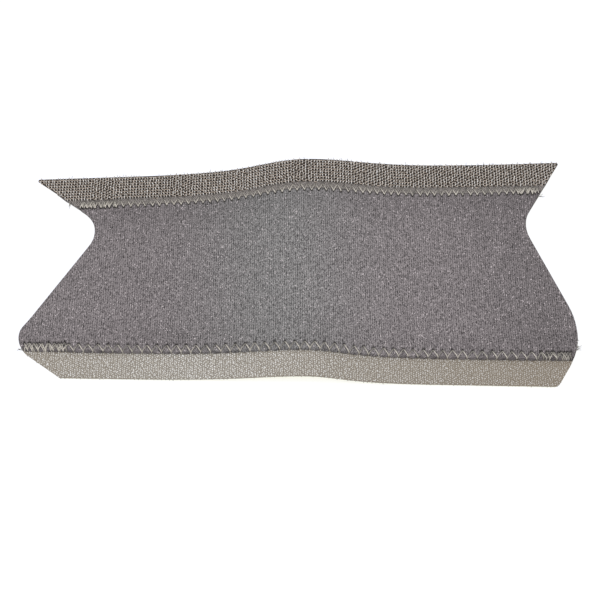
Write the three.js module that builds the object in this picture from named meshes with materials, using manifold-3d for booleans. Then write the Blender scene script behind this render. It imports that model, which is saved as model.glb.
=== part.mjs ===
// A bicycle frame protector: a neoprene guard that wraps round a chainstay, lying open on a flat surface.
// X runs along the guard, Y across it with the hook edge at +Y, and Z is up from the surface it lies on.
// All sizes are in millimetres, and the origin is at the bottom centre of the guard.
import * as THREE from 'three';
import { mergeVertices } from 'three/addons/utils/BufferGeometryUtils.js';
import Module from 'manifold-3d';

// Overall size
const LENGTH = 250;
const WIDTH_LEFT = 100.2;
const WIDTH_RIGHT = 114.2;

// Left end, as setbacks from the corner of the belly and insets from the two long edges
const LEFT_TIP_SETBACK = 4.9;
const LEFT_TIP_RADIUS = 0.8;
const LEFT_NOTCH_SETBACK = 39.5;
const LEFT_NOTCH_INSET = 26;
const LEFT_NOTCH_RADIUS = 13;
const LEFT_BELLY_INSET = 16;
const LEFT_BELLY_RADIUS = 10.5;
const LEFT_FOOT_SETBACK = 23.3;
const LEFT_FOOT_RADIUS = 0.8;

// Right end, in the same way
const RIGHT_TIP_SETBACK = 4.3;
const RIGHT_TIP_RADIUS = 0.8;
const RIGHT_NOTCH_SETBACK = 24.7;
const RIGHT_NOTCH_INSET = 32;
const RIGHT_NOTCH_RADIUS = 16;
const RIGHT_BELLY_INSET = 23.5;
const RIGHT_BELLY_RADIUS = 32;
const RIGHT_FOOT_SETBACK = 14.6;
const RIGHT_FOOT_RADIUS = 3;

// The fold's memory: a low hump that crosses the guard, sampled every HUMP_STEP
const HUMP_HEIGHT_HOOK = 11.1;
const HUMP_HEIGHT_LOOP = 7.3;
const HUMP_CREST_HOOK = 2.3;
const HUMP_CREST_LOOP = 4.1;
const HUMP_LEFT_SPREAD_HOOK = 27.7;
const HUMP_LEFT_SPREAD_LOOP = 32.6;
const HUMP_RIGHT_SPREAD_HOOK = 37.4;
const HUMP_RIGHT_SPREAD_LOOP = 20.2;
const HUMP_TAIL = 0.02;
const HUMP_STEP = 5;

// Neoprene panel
const PANEL_THICKNESS = 2.5;
const LOOP_SEAM_PRESSED = 1.6;
const HOOK_SEAM_PRESSED = 1.1;
const PANEL_RAMP = 8;
const PANEL_SHOULDER = 1.6;

// Hook and loop tapes
const TAPE_GROUND = 0.45;
const TAPE_OVERLAP = 6.9;
const HOOK_TAPE_WIDTH = 15.1;
const HOOK_HEIGHT = 1.3;
const HOOK_PITCH = 1.35;
const HOOK_SELVAGE = 2.8;
const LOOP_TAPE_WIDTH = 19;
const LOOP_PILE = 1.3;
const RIB_PITCH = 1.2;
const RIB_HEIGHT = 0.14;

// Zigzag seams, each with a needle thread on top and a bobbin thread below
const THREAD_WIDTH = 0.42;
const THREAD_THICKNESS = 0.32;
const HOOK_SEAM_PITCH = 3.4;
const HOOK_SEAM_REACH = 1;
const HOOK_SEAM_MARGIN = 0.6;
const LOOP_SEAM_PITCH = 4.4;
const LOOP_SEAM_INSET = 0.5;
const LOOP_SEAM_MARGIN = 3.3;
const SEAM_END_MARGIN = 0.8;
const TACK_PITCH = 1.1;
const TACK_TOOTH = 0.4;
const HOOK_TACK_LEFT = 17;
const HOOK_TACK_RIGHT = 11;
const LOOP_TACK_LEFT = 19;
const LOOP_TACK_RIGHT = 15;

// Clearances
const SEAT_GAP = 0.25;
const THREAD_GAP = 0.25;
const FLOOR_GAP = 0.05;
const TRIM = 2;

const wasm = await Module();
wasm.setup();

// Outline

const TAPER = (WIDTH_RIGHT - WIDTH_LEFT) / (2 * LENGTH);

function halfWidth(x) {
  return (WIDTH_LEFT + WIDTH_RIGHT) / 4 + TAPER * x;
}

const fromHookEdge = (inset) => (x) => halfWidth(x) - inset;
const fromLoopEdge = (inset) => (x) => inset - halfWidth(x);
const between = (lower, upper, share) => (x) => lower(x) + (upper(x) - lower(x)) * share;

const LEFT_END = {
  side: -1,
  setbacks: [LEFT_TIP_SETBACK, LEFT_NOTCH_SETBACK, 0, LEFT_FOOT_SETBACK],
  lines: [0, LEFT_NOTCH_INSET].map(fromHookEdge).concat([LEFT_BELLY_INSET, 0].map(fromLoopEdge)),
  radii: [LEFT_TIP_RADIUS, LEFT_NOTCH_RADIUS, LEFT_BELLY_RADIUS, LEFT_FOOT_RADIUS],
};
const RIGHT_END = {
  side: 1,
  setbacks: [RIGHT_TIP_SETBACK, RIGHT_NOTCH_SETBACK, 0, RIGHT_FOOT_SETBACK],
  lines: [0, RIGHT_NOTCH_INSET].map(fromHookEdge).concat([RIGHT_BELLY_INSET, 0].map(fromLoopEdge)),
  radii: [RIGHT_TIP_RADIUS, RIGHT_NOTCH_RADIUS, RIGHT_BELLY_RADIUS, RIGHT_FOOT_RADIUS],
};

// Where an arc of the given radius touches both legs of a corner, and its centre
function cornerArc(before, corner, after, radius) {
  const legIn = before.clone().sub(corner).normalize();
  const legOut = after.clone().sub(corner).normalize();
  const halfAngle = Math.acos(legIn.dot(legOut)) / 2;
  const reach = radius / Math.tan(halfAngle);
  const bisector = legIn.clone().add(legOut).normalize();
  return {
    start: corner.clone().addScaledVector(legIn, reach),
    end: corner.clone().addScaledVector(legOut, reach),
    centre: corner.clone().addScaledVector(bisector, radius / Math.sin(halfAngle)),
  };
}

// The tip, notch, belly and foot of one end, placed so that its rounded belly ends at half the length
function endCorners(end) {
  let overshoot = 0;
  let corners = [];
  for (let pass = 0; pass < 12; pass += 1) {
    corners = end.setbacks.map((setback, index) => {
      const x = end.side * (LENGTH / 2 + overshoot - setback);
      return new THREE.Vector2(x, end.lines[index](x));
    });
    const arc = cornerArc(corners[1], corners[2], corners[3], end.radii[2]);
    overshoot += LENGTH / 2 - (end.side * arc.centre.x + end.radii[2]);
  }
  return corners;
}

function outlineShape() {
  const corners = [...endCorners(LEFT_END), ...endCorners(RIGHT_END).reverse()];
  const radii = [...LEFT_END.radii, ...[...RIGHT_END.radii].reverse()];
  const shape = new THREE.Shape();
  corners.forEach((corner, index) => {
    const before = corners[(index + corners.length - 1) % corners.length];
    const after = corners[(index + 1) % corners.length];
    const radius = radii[index];
    const { start, end, centre } = cornerArc(before, corner, after, radius);
    const from = Math.atan2(start.y - centre.y, start.x - centre.x);
    const to = Math.atan2(end.y - centre.y, end.x - centre.x);
    const turn = Math.atan2(Math.sin(to - from), Math.cos(to - from));
    if (index === 0) shape.moveTo(start.x, start.y);
    else shape.lineTo(start.x, start.y);
    shape.absarc(centre.x, centre.y, radius, from, from + turn, turn < 0);
  });
  return shape;
}

// Hump

const mix = (atLoopEdge, atHookEdge, share) => atLoopEdge + (atHookEdge - atLoopEdge) * share;

// How far the sheet is lifted off the surface at a point of the plan
function lift(x, y) {
  const share = THREE.MathUtils.clamp(0.5 + y / (2 * halfWidth(x)), 0, 1);
  const crest = mix(HUMP_CREST_LOOP, HUMP_CREST_HOOK, share);
  const spread = x < crest
    ? mix(HUMP_LEFT_SPREAD_LOOP, HUMP_LEFT_SPREAD_HOOK, share)
    : mix(HUMP_RIGHT_SPREAD_LOOP, HUMP_RIGHT_SPREAD_HOOK, share);
  const swell = 1 / Math.cosh((x - crest) / spread) ** 2;
  const height = mix(HUMP_HEIGHT_LOOP, HUMP_HEIGHT_HOOK, share);
  return height * Math.max(0, (swell - HUMP_TAIL) / (1 - HUMP_TAIL));
}

// Stations along X that follow the hump and leave the flat ends in one stretch
function sheetStations() {
  const tailReach = Math.acosh(1 / Math.sqrt(HUMP_TAIL));
  const leftSpread = Math.max(HUMP_LEFT_SPREAD_HOOK, HUMP_LEFT_SPREAD_LOOP);
  const rightSpread = Math.max(HUMP_RIGHT_SPREAD_HOOK, HUMP_RIGHT_SPREAD_LOOP);
  const edge = LENGTH / 2 + TRIM;
  const from = Math.max(Math.min(HUMP_CREST_HOOK, HUMP_CREST_LOOP) - tailReach * leftSpread, HUMP_STEP - edge);
  const to = Math.min(Math.max(HUMP_CREST_HOOK, HUMP_CREST_LOOP) + tailReach * rightSpread, edge - HUMP_STEP);
  const steps = Math.ceil((to - from) / HUMP_STEP);
  const hump = Array.from({ length: steps + 1 }, (_, index) => from + ((to - from) * index) / steps);
  return [-edge, ...hump, edge];
}

// Stations at every foot and crest of a pattern of ridges
function ridgeStations(pitch) {
  const count = 2 * Math.ceil((LENGTH / 2 + TRIM) / pitch);
  return Array.from({ length: 2 * count + 1 }, (_, index) => ((index - count) * pitch) / 2);
}

const ridge = (low, high, pitch) => (x) => (Math.abs(Math.round((2 * x) / pitch)) % 2 === 1 ? high : low);
const level = (height) => () => height;

// Solids

function geometryOf(points, faces) {
  const geometry = new THREE.BufferGeometry();
  geometry.setAttribute('position', new THREE.Float32BufferAttribute(points.flat(), 3));
  geometry.setIndex(faces.flat());
  return geometry;
}

// A closed sheet between an upper and a lower surface, each a grid of rows across and stations along.
// A row is its line in plan and its height, which may change from station to station.
function sheetGeometry(upper, lower) {
  const points = [];
  const faces = [];
  const addSurface = ({ rows, stations }, facesUp) => {
    const grid = rows.map((row) => stations.map((x) => {
      const y = row.line(x);
      points.push([x, y, lift(x, y) + row.height(x)]);
      return points.length - 1;
    }));
    for (let r = 0; r + 1 < rows.length; r += 1) {
      for (let s = 0; s + 1 < stations.length; s += 1) {
        const [a, b, c, d] = [grid[r][s], grid[r][s + 1], grid[r + 1][s + 1], grid[r + 1][s]];
        if (facesUp) faces.push([a, b, c], [a, c, d]);
        else faces.push([a, c, b], [a, d, c]);
      }
    }
    return grid;
  };
  const top = addSurface(upper, true);
  const bottom = addSurface(lower, false);
  // Closes the wall between two edges that run the same way, with the wall facing to their right
  const addWall = (over, under, axis) => {
    const at = (index) => points[index][axis];
    const onward = Math.sign(at(over[over.length - 1]) - at(over[0]));
    let o = 0;
    let u = 0;
    while (o + 1 < over.length || u + 1 < under.length) {
      const overFirst = u + 1 === under.length
        || (o + 1 < over.length && onward * at(over[o + 1]) <= onward * at(under[u + 1]));
      if (overFirst) {
        faces.push([over[o], under[u], over[o + 1]]);
        o += 1;
      } else {
        faces.push([over[o], under[u], under[u + 1]]);
        u += 1;
      }
    }
  };
  const column = (grid, index) => grid.map((row) => row[index < 0 ? row.length + index : index]);
  addWall(top[0], bottom[0], 0);
  addWall(column(top, -1), column(bottom, -1), 1);
  addWall([...top[top.length - 1]].reverse(), [...bottom[bottom.length - 1]].reverse(), 0);
  addWall(column(top, 0).reverse(), column(bottom, 0).reverse(), 1);
  return geometryOf(points, faces);
}

function solidOf(geometry) {
  const bare = geometry.clone();
  bare.deleteAttribute('normal');
  bare.deleteAttribute('uv');
  const merged = mergeVertices(bare, 1e-5);
  return new wasm.Manifold(new wasm.Mesh({
    numProp: 3,
    vertProperties: new Float32Array(merged.attributes.position.array),
    triVerts: new Uint32Array(merged.index.array),
  }));
}

// All layers are cut along one outline, because the guard is sewn first and trimmed afterwards
const CUT_DEPTH = 60;
const cutter = new THREE.ExtrudeGeometry(outlineShape(), {
  depth: CUT_DEPTH,
  bevelEnabled: false,
  curveSegments: 9,
});
cutter.translate(0, 0, -CUT_DEPTH / 2);
const outlineSolid = solidOf(cutter);

function trimmed(geometry) {
  const mesh = solidOf(geometry).intersect(outlineSolid).getMesh();
  const result = new THREE.BufferGeometry();
  result.setAttribute('position', new THREE.Float32BufferAttribute(mesh.vertProperties, 3));
  result.setIndex(Array.from(mesh.triVerts));
  return result;
}

// Heights of the layers above the surface, where the sheet lies flat

const LOOP_TAPE_TOP = LOOP_PILE + TAPE_GROUND;
const PANEL_OVER_TAPE = LOOP_TAPE_TOP + SEAT_GAP;
const LOOP_SEAM_TOP = PANEL_OVER_TAPE + LOOP_SEAM_PRESSED;
const BOBBIN_CHANNEL = FLOOR_GAP + THREAD_THICKNESS + THREAD_GAP;
const HOOK_TAPE_SEAT = BOBBIN_CHANNEL + HOOK_SEAM_PRESSED;
const HOOK_GROUND_BOTTOM = HOOK_TAPE_SEAT + SEAT_GAP;
const HOOK_GROUND_TOP = HOOK_GROUND_BOTTOM + TAPE_GROUND;

// Neoprene panel

const PANEL_HOOK_INSET = HOOK_TAPE_WIDTH - TAPE_OVERLAP;
const PANEL_LOOP_INSET = LOOP_TAPE_WIDTH - TAPE_OVERLAP;
const HOOK_SEAM_NEAR = HOOK_TAPE_WIDTH + HOOK_SEAM_REACH;
const HOOK_SEAM_FAR = HOOK_TAPE_WIDTH - HOOK_SELVAGE + HOOK_SEAM_MARGIN;
const LOOP_SEAM_NEAR = PANEL_LOOP_INSET + LOOP_SEAM_INSET;
const LOOP_SEAM_FAR = LOOP_TAPE_WIDTH - LOOP_SEAM_MARGIN;
const HOOK_CHANNEL_FROM = HOOK_SEAM_FAR - THREAD_WIDTH - THREAD_GAP;
const HOOK_CHANNEL_TO = HOOK_SEAM_NEAR + THREAD_WIDTH + THREAD_GAP;

function panelRows() {
  const rampStart = LOOP_TAPE_WIDTH + SEAT_GAP;
  const rampEnd = rampStart + PANEL_RAMP;
  const shoulder = HOOK_CHANNEL_TO + PANEL_SHOULDER;
  const innerEdge = fromLoopEdge(rampEnd);
  const outerEdge = fromHookEdge(shoulder);
  const rows = [];
  const add = (line, bottom, top) => rows.push({ line, bottom, top });
  add(fromLoopEdge(PANEL_LOOP_INSET), PANEL_OVER_TAPE, LOOP_SEAM_TOP);
  add(fromLoopEdge(LOOP_SEAM_FAR + THREAD_WIDTH), PANEL_OVER_TAPE, LOOP_SEAM_TOP);
  for (let step = 0; step <= 4; step += 1) {
    const share = step / 4;
    const rise = PANEL_OVER_TAPE * (1 - share * share * (3 - 2 * share));
    add(fromLoopEdge(rampStart + PANEL_RAMP * share), rise, rise + PANEL_THICKNESS);
  }
  for (let step = 1; step <= 3; step += 1) {
    add(between(innerEdge, outerEdge, step / 4), 0, PANEL_THICKNESS);
  }
  add(outerEdge, 0, PANEL_THICKNESS);
  add(fromHookEdge(HOOK_CHANNEL_TO), BOBBIN_CHANNEL, HOOK_GROUND_TOP);
  add(fromHookEdge(HOOK_TAPE_WIDTH + 2 * SEAT_GAP), BOBBIN_CHANNEL, HOOK_GROUND_BOTTOM);
  add(fromHookEdge(HOOK_TAPE_WIDTH + SEAT_GAP), BOBBIN_CHANNEL, HOOK_TAPE_SEAT);
  add(fromHookEdge(HOOK_CHANNEL_FROM), BOBBIN_CHANNEL, HOOK_TAPE_SEAT);
  add(fromHookEdge(Math.max(HOOK_CHANNEL_FROM - PANEL_SHOULDER, PANEL_HOOK_INSET + SEAT_GAP)), 0, HOOK_TAPE_SEAT);
  add(fromHookEdge(PANEL_HOOK_INSET), 0, HOOK_TAPE_SEAT);
  return rows;
}

function neoprenePanel() {
  const rows = panelRows();
  const stations = sheetStations();
  return trimmed(sheetGeometry(
    { stations, rows: rows.map(({ line, top }) => ({ line, height: level(top) })) },
    { stations, rows: rows.map(({ line, bottom }) => ({ line, height: level(bottom) })) },
  ));
}

// Hook tape, whose columns of hooks stand as ridges across it

function hookTape() {
  const stations = ridgeStations(HOOK_PITCH);
  const span = [stations[0], ...sheetStations().slice(1, -1), stations[stations.length - 1]];
  const hooks = ridge(HOOK_GROUND_TOP, HOOK_GROUND_TOP + HOOK_HEIGHT, HOOK_PITCH);
  const fieldEnd = HOOK_TAPE_WIDTH - HOOK_SELVAGE;
  const upper = [
    { line: fromHookEdge(HOOK_TAPE_WIDTH), height: level(HOOK_GROUND_TOP) },
    { line: fromHookEdge(fieldEnd), height: level(HOOK_GROUND_TOP) },
    { line: fromHookEdge(fieldEnd - SEAT_GAP), height: hooks },
    { line: fromHookEdge(-TRIM), height: hooks },
  ];
  const lower = [HOOK_TAPE_WIDTH, -TRIM].map((inset) => ({
    line: fromHookEdge(inset),
    height: level(HOOK_GROUND_BOTTOM),
  }));
  return trimmed(sheetGeometry({ stations, rows: upper }, { stations: span, rows: lower }));
}

// Loop tape, with its ribbed woven back up and its pile on the surface

function loopTape() {
  const stations = ridgeStations(RIB_PITCH);
  const span = [stations[0], ...sheetStations().slice(1, -1), stations[stations.length - 1]];
  const ribs = ridge(LOOP_TAPE_TOP - RIB_HEIGHT, LOOP_TAPE_TOP, RIB_PITCH);
  const pileEnd = PANEL_LOOP_INSET - SEAT_GAP;
  const upper = [
    { line: fromLoopEdge(-TRIM), height: ribs },
    { line: fromLoopEdge(LOOP_TAPE_WIDTH), height: ribs },
  ];
  const lower = [
    { line: fromLoopEdge(-TRIM), height: level(0) },
    { line: fromLoopEdge(pileEnd - LOOP_PILE), height: level(0) },
    { line: fromLoopEdge(pileEnd), height: level(LOOP_PILE) },
    { line: fromLoopEdge(LOOP_TAPE_WIDTH), height: level(LOOP_PILE) },
  ];
  return trimmed(sheetGeometry({ stations, rows: upper }, { stations: span, rows: lower }));
}

// Threads

// Where a line across the guard meets its outline, on the left or right
function lineEnd(line, side) {
  const outline = outlineShape().getPoints(9);
  let reach = LENGTH / 2;
  outline.forEach((from, index) => {
    const to = outline[(index + 1) % outline.length];
    const above = from.y - line(from.x);
    const below = to.y - line(to.x);
    if (above * below > 0 || above === below) return;
    const x = from.x + ((to.x - from.x) * above) / (above - below);
    if (Math.sign(x) === side) reach = Math.min(reach, Math.abs(x));
  });
  return side * reach;
}

// Left and right edge points of a thread of even width that runs through the given points
function threadEdges(path) {
  return path.map((point, index) => {
    const before = path[Math.max(index - 1, 0)];
    const after = path[Math.min(index + 1, path.length - 1)];
    const into = index > 0 ? point.clone().sub(before).normalize() : after.clone().sub(point).normalize();
    const out = index + 1 < path.length ? after.clone().sub(point).normalize() : into.clone();
    const across = new THREE.Vector2(-into.y - out.y, into.x + out.x).normalize();
    const half = THREAD_WIDTH / 2 / Math.max(across.x * -into.y + across.y * into.x, 0.3);
    return [point.clone().addScaledVector(across, half), point.clone().addScaledVector(across, -half)];
  });
}

// One seam's thread: a dense back tack, the zigzag, and the back tack at the other end, in one length
function seamThread({ near, far, pitch, tackLeft, tackRight, bottom }) {
  const seamLine = between(near, far, 0.5);
  const left = Math.max(lineEnd(near, -1), lineEnd(far, -1)) + SEAM_END_MARGIN;
  const right = Math.min(lineEnd(near, 1), lineEnd(far, 1)) - SEAM_END_MARGIN;
  const tack = (from, length) => {
    const teeth = Math.max(2, Math.round(length / TACK_PITCH));
    return Array.from({ length: 2 * teeth + 1 }, (_, index) => {
      const x = from + (length * index) / (2 * teeth);
      const tooth = index % 2 === 0 ? 0 : TACK_TOOTH;
      return [new THREE.Vector2(x, far(x) - tooth), new THREE.Vector2(x, near(x) + tooth)];
    });
  };
  const start = left + tackLeft;
  const end = right - tackRight;
  const stitches = Math.max(1, Math.round((end - start) / pitch));
  const stride = (end - start) / stitches;
  const zigzag = [];
  for (let half = 1; half < 2 * stitches; half += 1) {
    const x = start + (half * stride) / 2;
    zigzag.push(new THREE.Vector2(x, half % 2 === 1 ? far(x) : near(x)));
  }
  const edges = [...tack(left, tackLeft), ...threadEdges(zigzag), ...tack(end, tackRight)];
  const points = [];
  const faces = [];
  edges.forEach(([leftEdge, rightEdge], index) => {
    for (const height of [bottom + THREAD_THICKNESS, bottom]) {
      for (const { x, y } of [leftEdge, rightEdge]) {
        points.push([x, y, lift(x, seamLine(x)) + height]);
      }
    }
    if (index === 0) return;
    const now = 4 * index;
    const last = now - 4;
    for (const [a, b] of [[0, 1], [1, 3], [3, 2], [2, 0]]) {
      faces.push([last + a, last + b, now + b], [last + a, now + b, now + a]);
    }
  });
  const final = points.length - 4;
  faces.push([0, 2, 3], [0, 3, 1], [final, final + 1, final + 3], [final, final + 3, final + 2]);
  return geometryOf(points, faces);
}

const HOOK_SEAM = {
  near: fromHookEdge(HOOK_SEAM_NEAR),
  far: fromHookEdge(HOOK_SEAM_FAR),
  pitch: HOOK_SEAM_PITCH,
  tackLeft: HOOK_TACK_LEFT,
  tackRight: HOOK_TACK_RIGHT,
};
const LOOP_SEAM = {
  near: fromLoopEdge(LOOP_SEAM_NEAR),
  far: fromLoopEdge(LOOP_SEAM_FAR),
  pitch: LOOP_SEAM_PITCH,
  tackLeft: LOOP_TACK_LEFT,
  tackRight: LOOP_TACK_RIGHT,
};

// Finishes

const finish = (color, roughness) => new THREE.MeshStandardMaterial({ color, roughness, metalness: 0 });
const NEOPRENE = finish('#7f7a7c', 0.95);
const HOOK_NYLON = finish('#82796f', 0.6);
const LOOP_NYLON = finish('#a6a298', 0.85);
const THREAD = finish('#9a968f', 0.55);

// Assembly

const group = new THREE.Group();

function addPiece(name, geometry, material) {
  const mesh = new THREE.Mesh(geometry, material);
  mesh.name = name;
  mesh.geometry.computeVertexNormals();
  group.add(mesh);
}

addPiece('neoprene_panel', neoprenePanel(), NEOPRENE);
addPiece('hook_tape', hookTape(), HOOK_NYLON);
addPiece('loop_tape', loopTape(), LOOP_NYLON);
addPiece(
  'hook_seam_needle_thread',
  seamThread({ ...HOOK_SEAM, bottom: HOOK_GROUND_TOP + THREAD_GAP }),
  THREAD,
);
addPiece('hook_seam_bobbin_thread', seamThread({ ...HOOK_SEAM, bottom: FLOOR_GAP }), THREAD);
addPiece(
  'loop_seam_needle_thread',
  seamThread({ ...LOOP_SEAM, bottom: LOOP_SEAM_TOP + THREAD_GAP }),
  THREAD,
);
addPiece(
  'loop_seam_bobbin_thread',
  seamThread({ ...LOOP_SEAM, bottom: LOOP_PILE - THREAD_GAP - THREAD_THICKNESS }),
  THREAD,
);

// The origin is the middle of the guard's footprint, at the surface
const footprint = new THREE.Box3().setFromObject(group);
const middle = footprint.getCenter(new THREE.Vector3());
group.position.set(-middle.x, -middle.y, -footprint.min.z);

export default group;
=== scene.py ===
"""Dresses a bicycle frame protector: its knitted neoprene, its hook and loop tapes and its zigzag seams."""

import math

import bpy
import numpy as np
from mathutils import Matrix, Vector


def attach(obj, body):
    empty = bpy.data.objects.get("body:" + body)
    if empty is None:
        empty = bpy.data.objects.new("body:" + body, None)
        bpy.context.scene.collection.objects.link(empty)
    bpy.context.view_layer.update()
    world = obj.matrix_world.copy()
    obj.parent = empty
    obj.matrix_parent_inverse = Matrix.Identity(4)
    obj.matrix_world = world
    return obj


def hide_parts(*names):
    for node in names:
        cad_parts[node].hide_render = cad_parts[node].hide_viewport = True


bl_info = {
    "name": "Bicycle frame protector",
    "version": (1, 0, 0),
    "blender": (4, 5, 0),
    "location": "View3D > Sidebar > Protector",
    "description": "Makes the knit, the fastening tapes and the seams of a neoprene chainstay guard",
    "category": "Add Mesh",
}

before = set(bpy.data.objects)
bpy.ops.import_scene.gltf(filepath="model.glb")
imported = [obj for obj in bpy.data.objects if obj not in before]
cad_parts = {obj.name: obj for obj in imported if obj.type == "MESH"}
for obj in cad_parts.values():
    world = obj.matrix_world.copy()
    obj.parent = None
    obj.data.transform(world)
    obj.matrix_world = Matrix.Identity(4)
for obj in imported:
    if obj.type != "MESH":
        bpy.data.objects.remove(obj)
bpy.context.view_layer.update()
MM = 0.001

# Overall size, with the hook edge at +Y and the loop edge at -Y
LENGTH = 250 * MM
WIDTH_LEFT = 100.2 * MM
WIDTH_RIGHT = 114.2 * MM
TAPER = (WIDTH_RIGHT - WIDTH_LEFT) / (2 * LENGTH)

# The fold's memory: a low hump that crosses the guard, as values at the loop edge and at the hook edge
HUMP_HEIGHT = (7.3 * MM, 11.1 * MM)
HUMP_CREST = (4.1 * MM, 2.3 * MM)
HUMP_LEFT_SPREAD = (32.6 * MM, 27.7 * MM)
HUMP_RIGHT_SPREAD = (20.2 * MM, 37.4 * MM)
HUMP_TAIL = 0.02

# Neoprene panel
PANEL_THICKNESS = 2.5 * MM
LOOP_SEAM_PRESSED = 1.6 * MM
PANEL_RAMP = 8 * MM
ROUNDING = 0.3 * MM

# Hook and loop tapes
TAPE_GROUND = 0.45 * MM
TAPE_OVERLAP = 6.9 * MM
HOOK_TAPE_WIDTH = 15.1 * MM
HOOK_SELVAGE = 2.8 * MM
LOOP_TAPE_WIDTH = 19 * MM
LOOP_PILE = 1.3 * MM

# Zigzag seams
HOOK_SEAM_NEAR = HOOK_TAPE_WIDTH + 1 * MM
HOOK_SEAM_FAR = HOOK_TAPE_WIDTH - HOOK_SELVAGE + 0.6 * MM
LOOP_SEAM_NEAR = LOOP_TAPE_WIDTH - TAPE_OVERLAP + 0.5 * MM
LOOP_SEAM_FAR = LOOP_TAPE_WIDTH - 3.3 * MM
SEAM_END_MARGIN = 0.8 * MM

# Heights of the layers above the surface that the guard lies on
LOOP_TAPE_TOP = LOOP_PILE + TAPE_GROUND
PANEL_OVER_TAPE = LOOP_TAPE_TOP + 0.25 * MM
LOOP_SEAM_TOP = PANEL_OVER_TAPE + LOOP_SEAM_PRESSED
HOOK_GROUND_BOTTOM = 1.97 * MM
HOOK_GROUND_TOP = HOOK_GROUND_BOTTOM + TAPE_GROUND
HOOK_SEAM_UNDERSIDE = 0.5 * MM
TAPE_SAG = 0.12 * MM
THREAD_DENT = 0.12 * MM

PANEL_HOOK_INSET = HOOK_TAPE_WIDTH - TAPE_OVERLAP
PANEL_LOOP_INSET = LOOP_TAPE_WIDTH - TAPE_OVERLAP
RAMP_START = LOOP_TAPE_WIDTH + 0.25 * MM
RAMP_END = RAMP_START + PANEL_RAMP


# Plan of the guard. A row is a line along the guard, as (lean, offset) from its middle line


def half_width(x):
    return (WIDTH_LEFT + WIDTH_RIGHT) / 4 + TAPER * x


def across(row, x):
    return row[0] * half_width(x) + row[1]


def hook_edge(inset):
    return (1.0, -inset)


def loop_edge(inset):
    return (-1.0, inset)


def between(lower, upper, share):
    return tuple(a + (b - a) * share for a, b in zip(lower, upper))


# The tip, notch, belly and foot of each cut end
LEFT_END = {
    "side": -1,
    "setbacks": (4.9 * MM, 39.5 * MM, 0, 23.3 * MM),
    "rows": (hook_edge(0), hook_edge(26 * MM), loop_edge(16 * MM), loop_edge(0)),
    "radii": (0.8 * MM, 13 * MM, 10.5 * MM, 0.8 * MM),
}
RIGHT_END = {
    "side": 1,
    "setbacks": (4.3 * MM, 24.7 * MM, 0, 14.6 * MM),
    "rows": (hook_edge(0), hook_edge(32 * MM), loop_edge(23.5 * MM), loop_edge(0)),
    "radii": (0.8 * MM, 16 * MM, 32 * MM, 3 * MM),
}
BELLY = 2
BELLY_PASSES = 12
ARC_STEPS = 24


def corner_arc(before, corner, after, radius):
    """Where an arc of the given radius touches both legs of a corner, and its centre."""
    leg_in = (before - corner) / np.linalg.norm(before - corner)
    leg_out = (after - corner) / np.linalg.norm(after - corner)
    half_angle = math.acos(leg_in @ leg_out) / 2
    reach = radius / math.tan(half_angle)
    bisector = (leg_in + leg_out) / np.linalg.norm(leg_in + leg_out)
    centre = corner + bisector * radius / math.sin(half_angle)
    return corner + leg_in * reach, corner + leg_out * reach, centre


def end_corners(end):
    """The corners of one cut end, placed so that its rounded belly ends at half the length."""
    overshoot = 0.0
    for _ in range(BELLY_PASSES):
        places = [end["side"] * (LENGTH / 2 + overshoot - setback) for setback in end["setbacks"]]
        corners = [np.array((x, across(row, x))) for x, row in zip(places, end["rows"])]
        centre = corner_arc(*corners[BELLY - 1 : BELLY + 2], end["radii"][BELLY])[2]
        overshoot += LENGTH / 2 - (end["side"] * centre[0] + end["radii"][BELLY])
    return corners


def outline_points():
    corners = end_corners(LEFT_END) + end_corners(RIGHT_END)[::-1]
    radii = LEFT_END["radii"] + RIGHT_END["radii"][::-1]
    points = []
    for index, (corner, radius) in enumerate(zip(corners, radii)):
        following = corners[(index + 1) % len(corners)]
        start, end, centre = corner_arc(corners[index - 1], corner, following, radius)
        first = math.atan2(*(start - centre)[::-1])
        turn = math.atan2(*(end - centre)[::-1]) - first
        turn = math.atan2(math.sin(turn), math.cos(turn))
        for step in range(ARC_STEPS + 1):
            angle = first + turn * step / ARC_STEPS
            points.append(centre + radius * np.array((math.cos(angle), math.sin(angle))))
    return np.array(points)


OUTLINE = outline_points()
MIDDLE = (OUTLINE.min(0) + OUTLINE.max(0)) / 2


def row_span(row):
    """Where a row starts and ends on the cut outline."""
    gap = OUTLINE[:, 1] - across(row, OUTLINE[:, 0])
    onward = np.roll(gap, -1)
    crossing = np.nonzero((gap > 0) != (onward > 0))[0]
    share = gap[crossing] / (gap[crossing] - onward[crossing])
    start = OUTLINE[crossing, 0]
    end = np.roll(OUTLINE[:, 0], -1)[crossing]
    places = start + (end - start) * share
    return places.min(), places.max()


def lift(x, y):
    """How far the hump lifts the sheet at a point of the plan."""
    share = np.clip(0.5 + y / (2 * half_width(x)), 0, 1)
    crest = HUMP_CREST[0] + (HUMP_CREST[1] - HUMP_CREST[0]) * share
    left = HUMP_LEFT_SPREAD[0] + (HUMP_LEFT_SPREAD[1] - HUMP_LEFT_SPREAD[0]) * share
    right = HUMP_RIGHT_SPREAD[0] + (HUMP_RIGHT_SPREAD[1] - HUMP_RIGHT_SPREAD[0]) * share
    swell = np.cosh((x - crest) / np.where(x < crest, left, right)) ** -2.0
    height = HUMP_HEIGHT[0] + (HUMP_HEIGHT[1] - HUMP_HEIGHT[0]) * share
    return height * np.maximum(0, (swell - HUMP_TAIL) / (1 - HUMP_TAIL))


def placed(x, y, z):
    """Points of the plan with a height over the sheet's middle, as places in the part's own frame."""
    return np.stack((x - MIDDLE[0], y - MIDDLE[1], z + lift(x, y)), -1)


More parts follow.
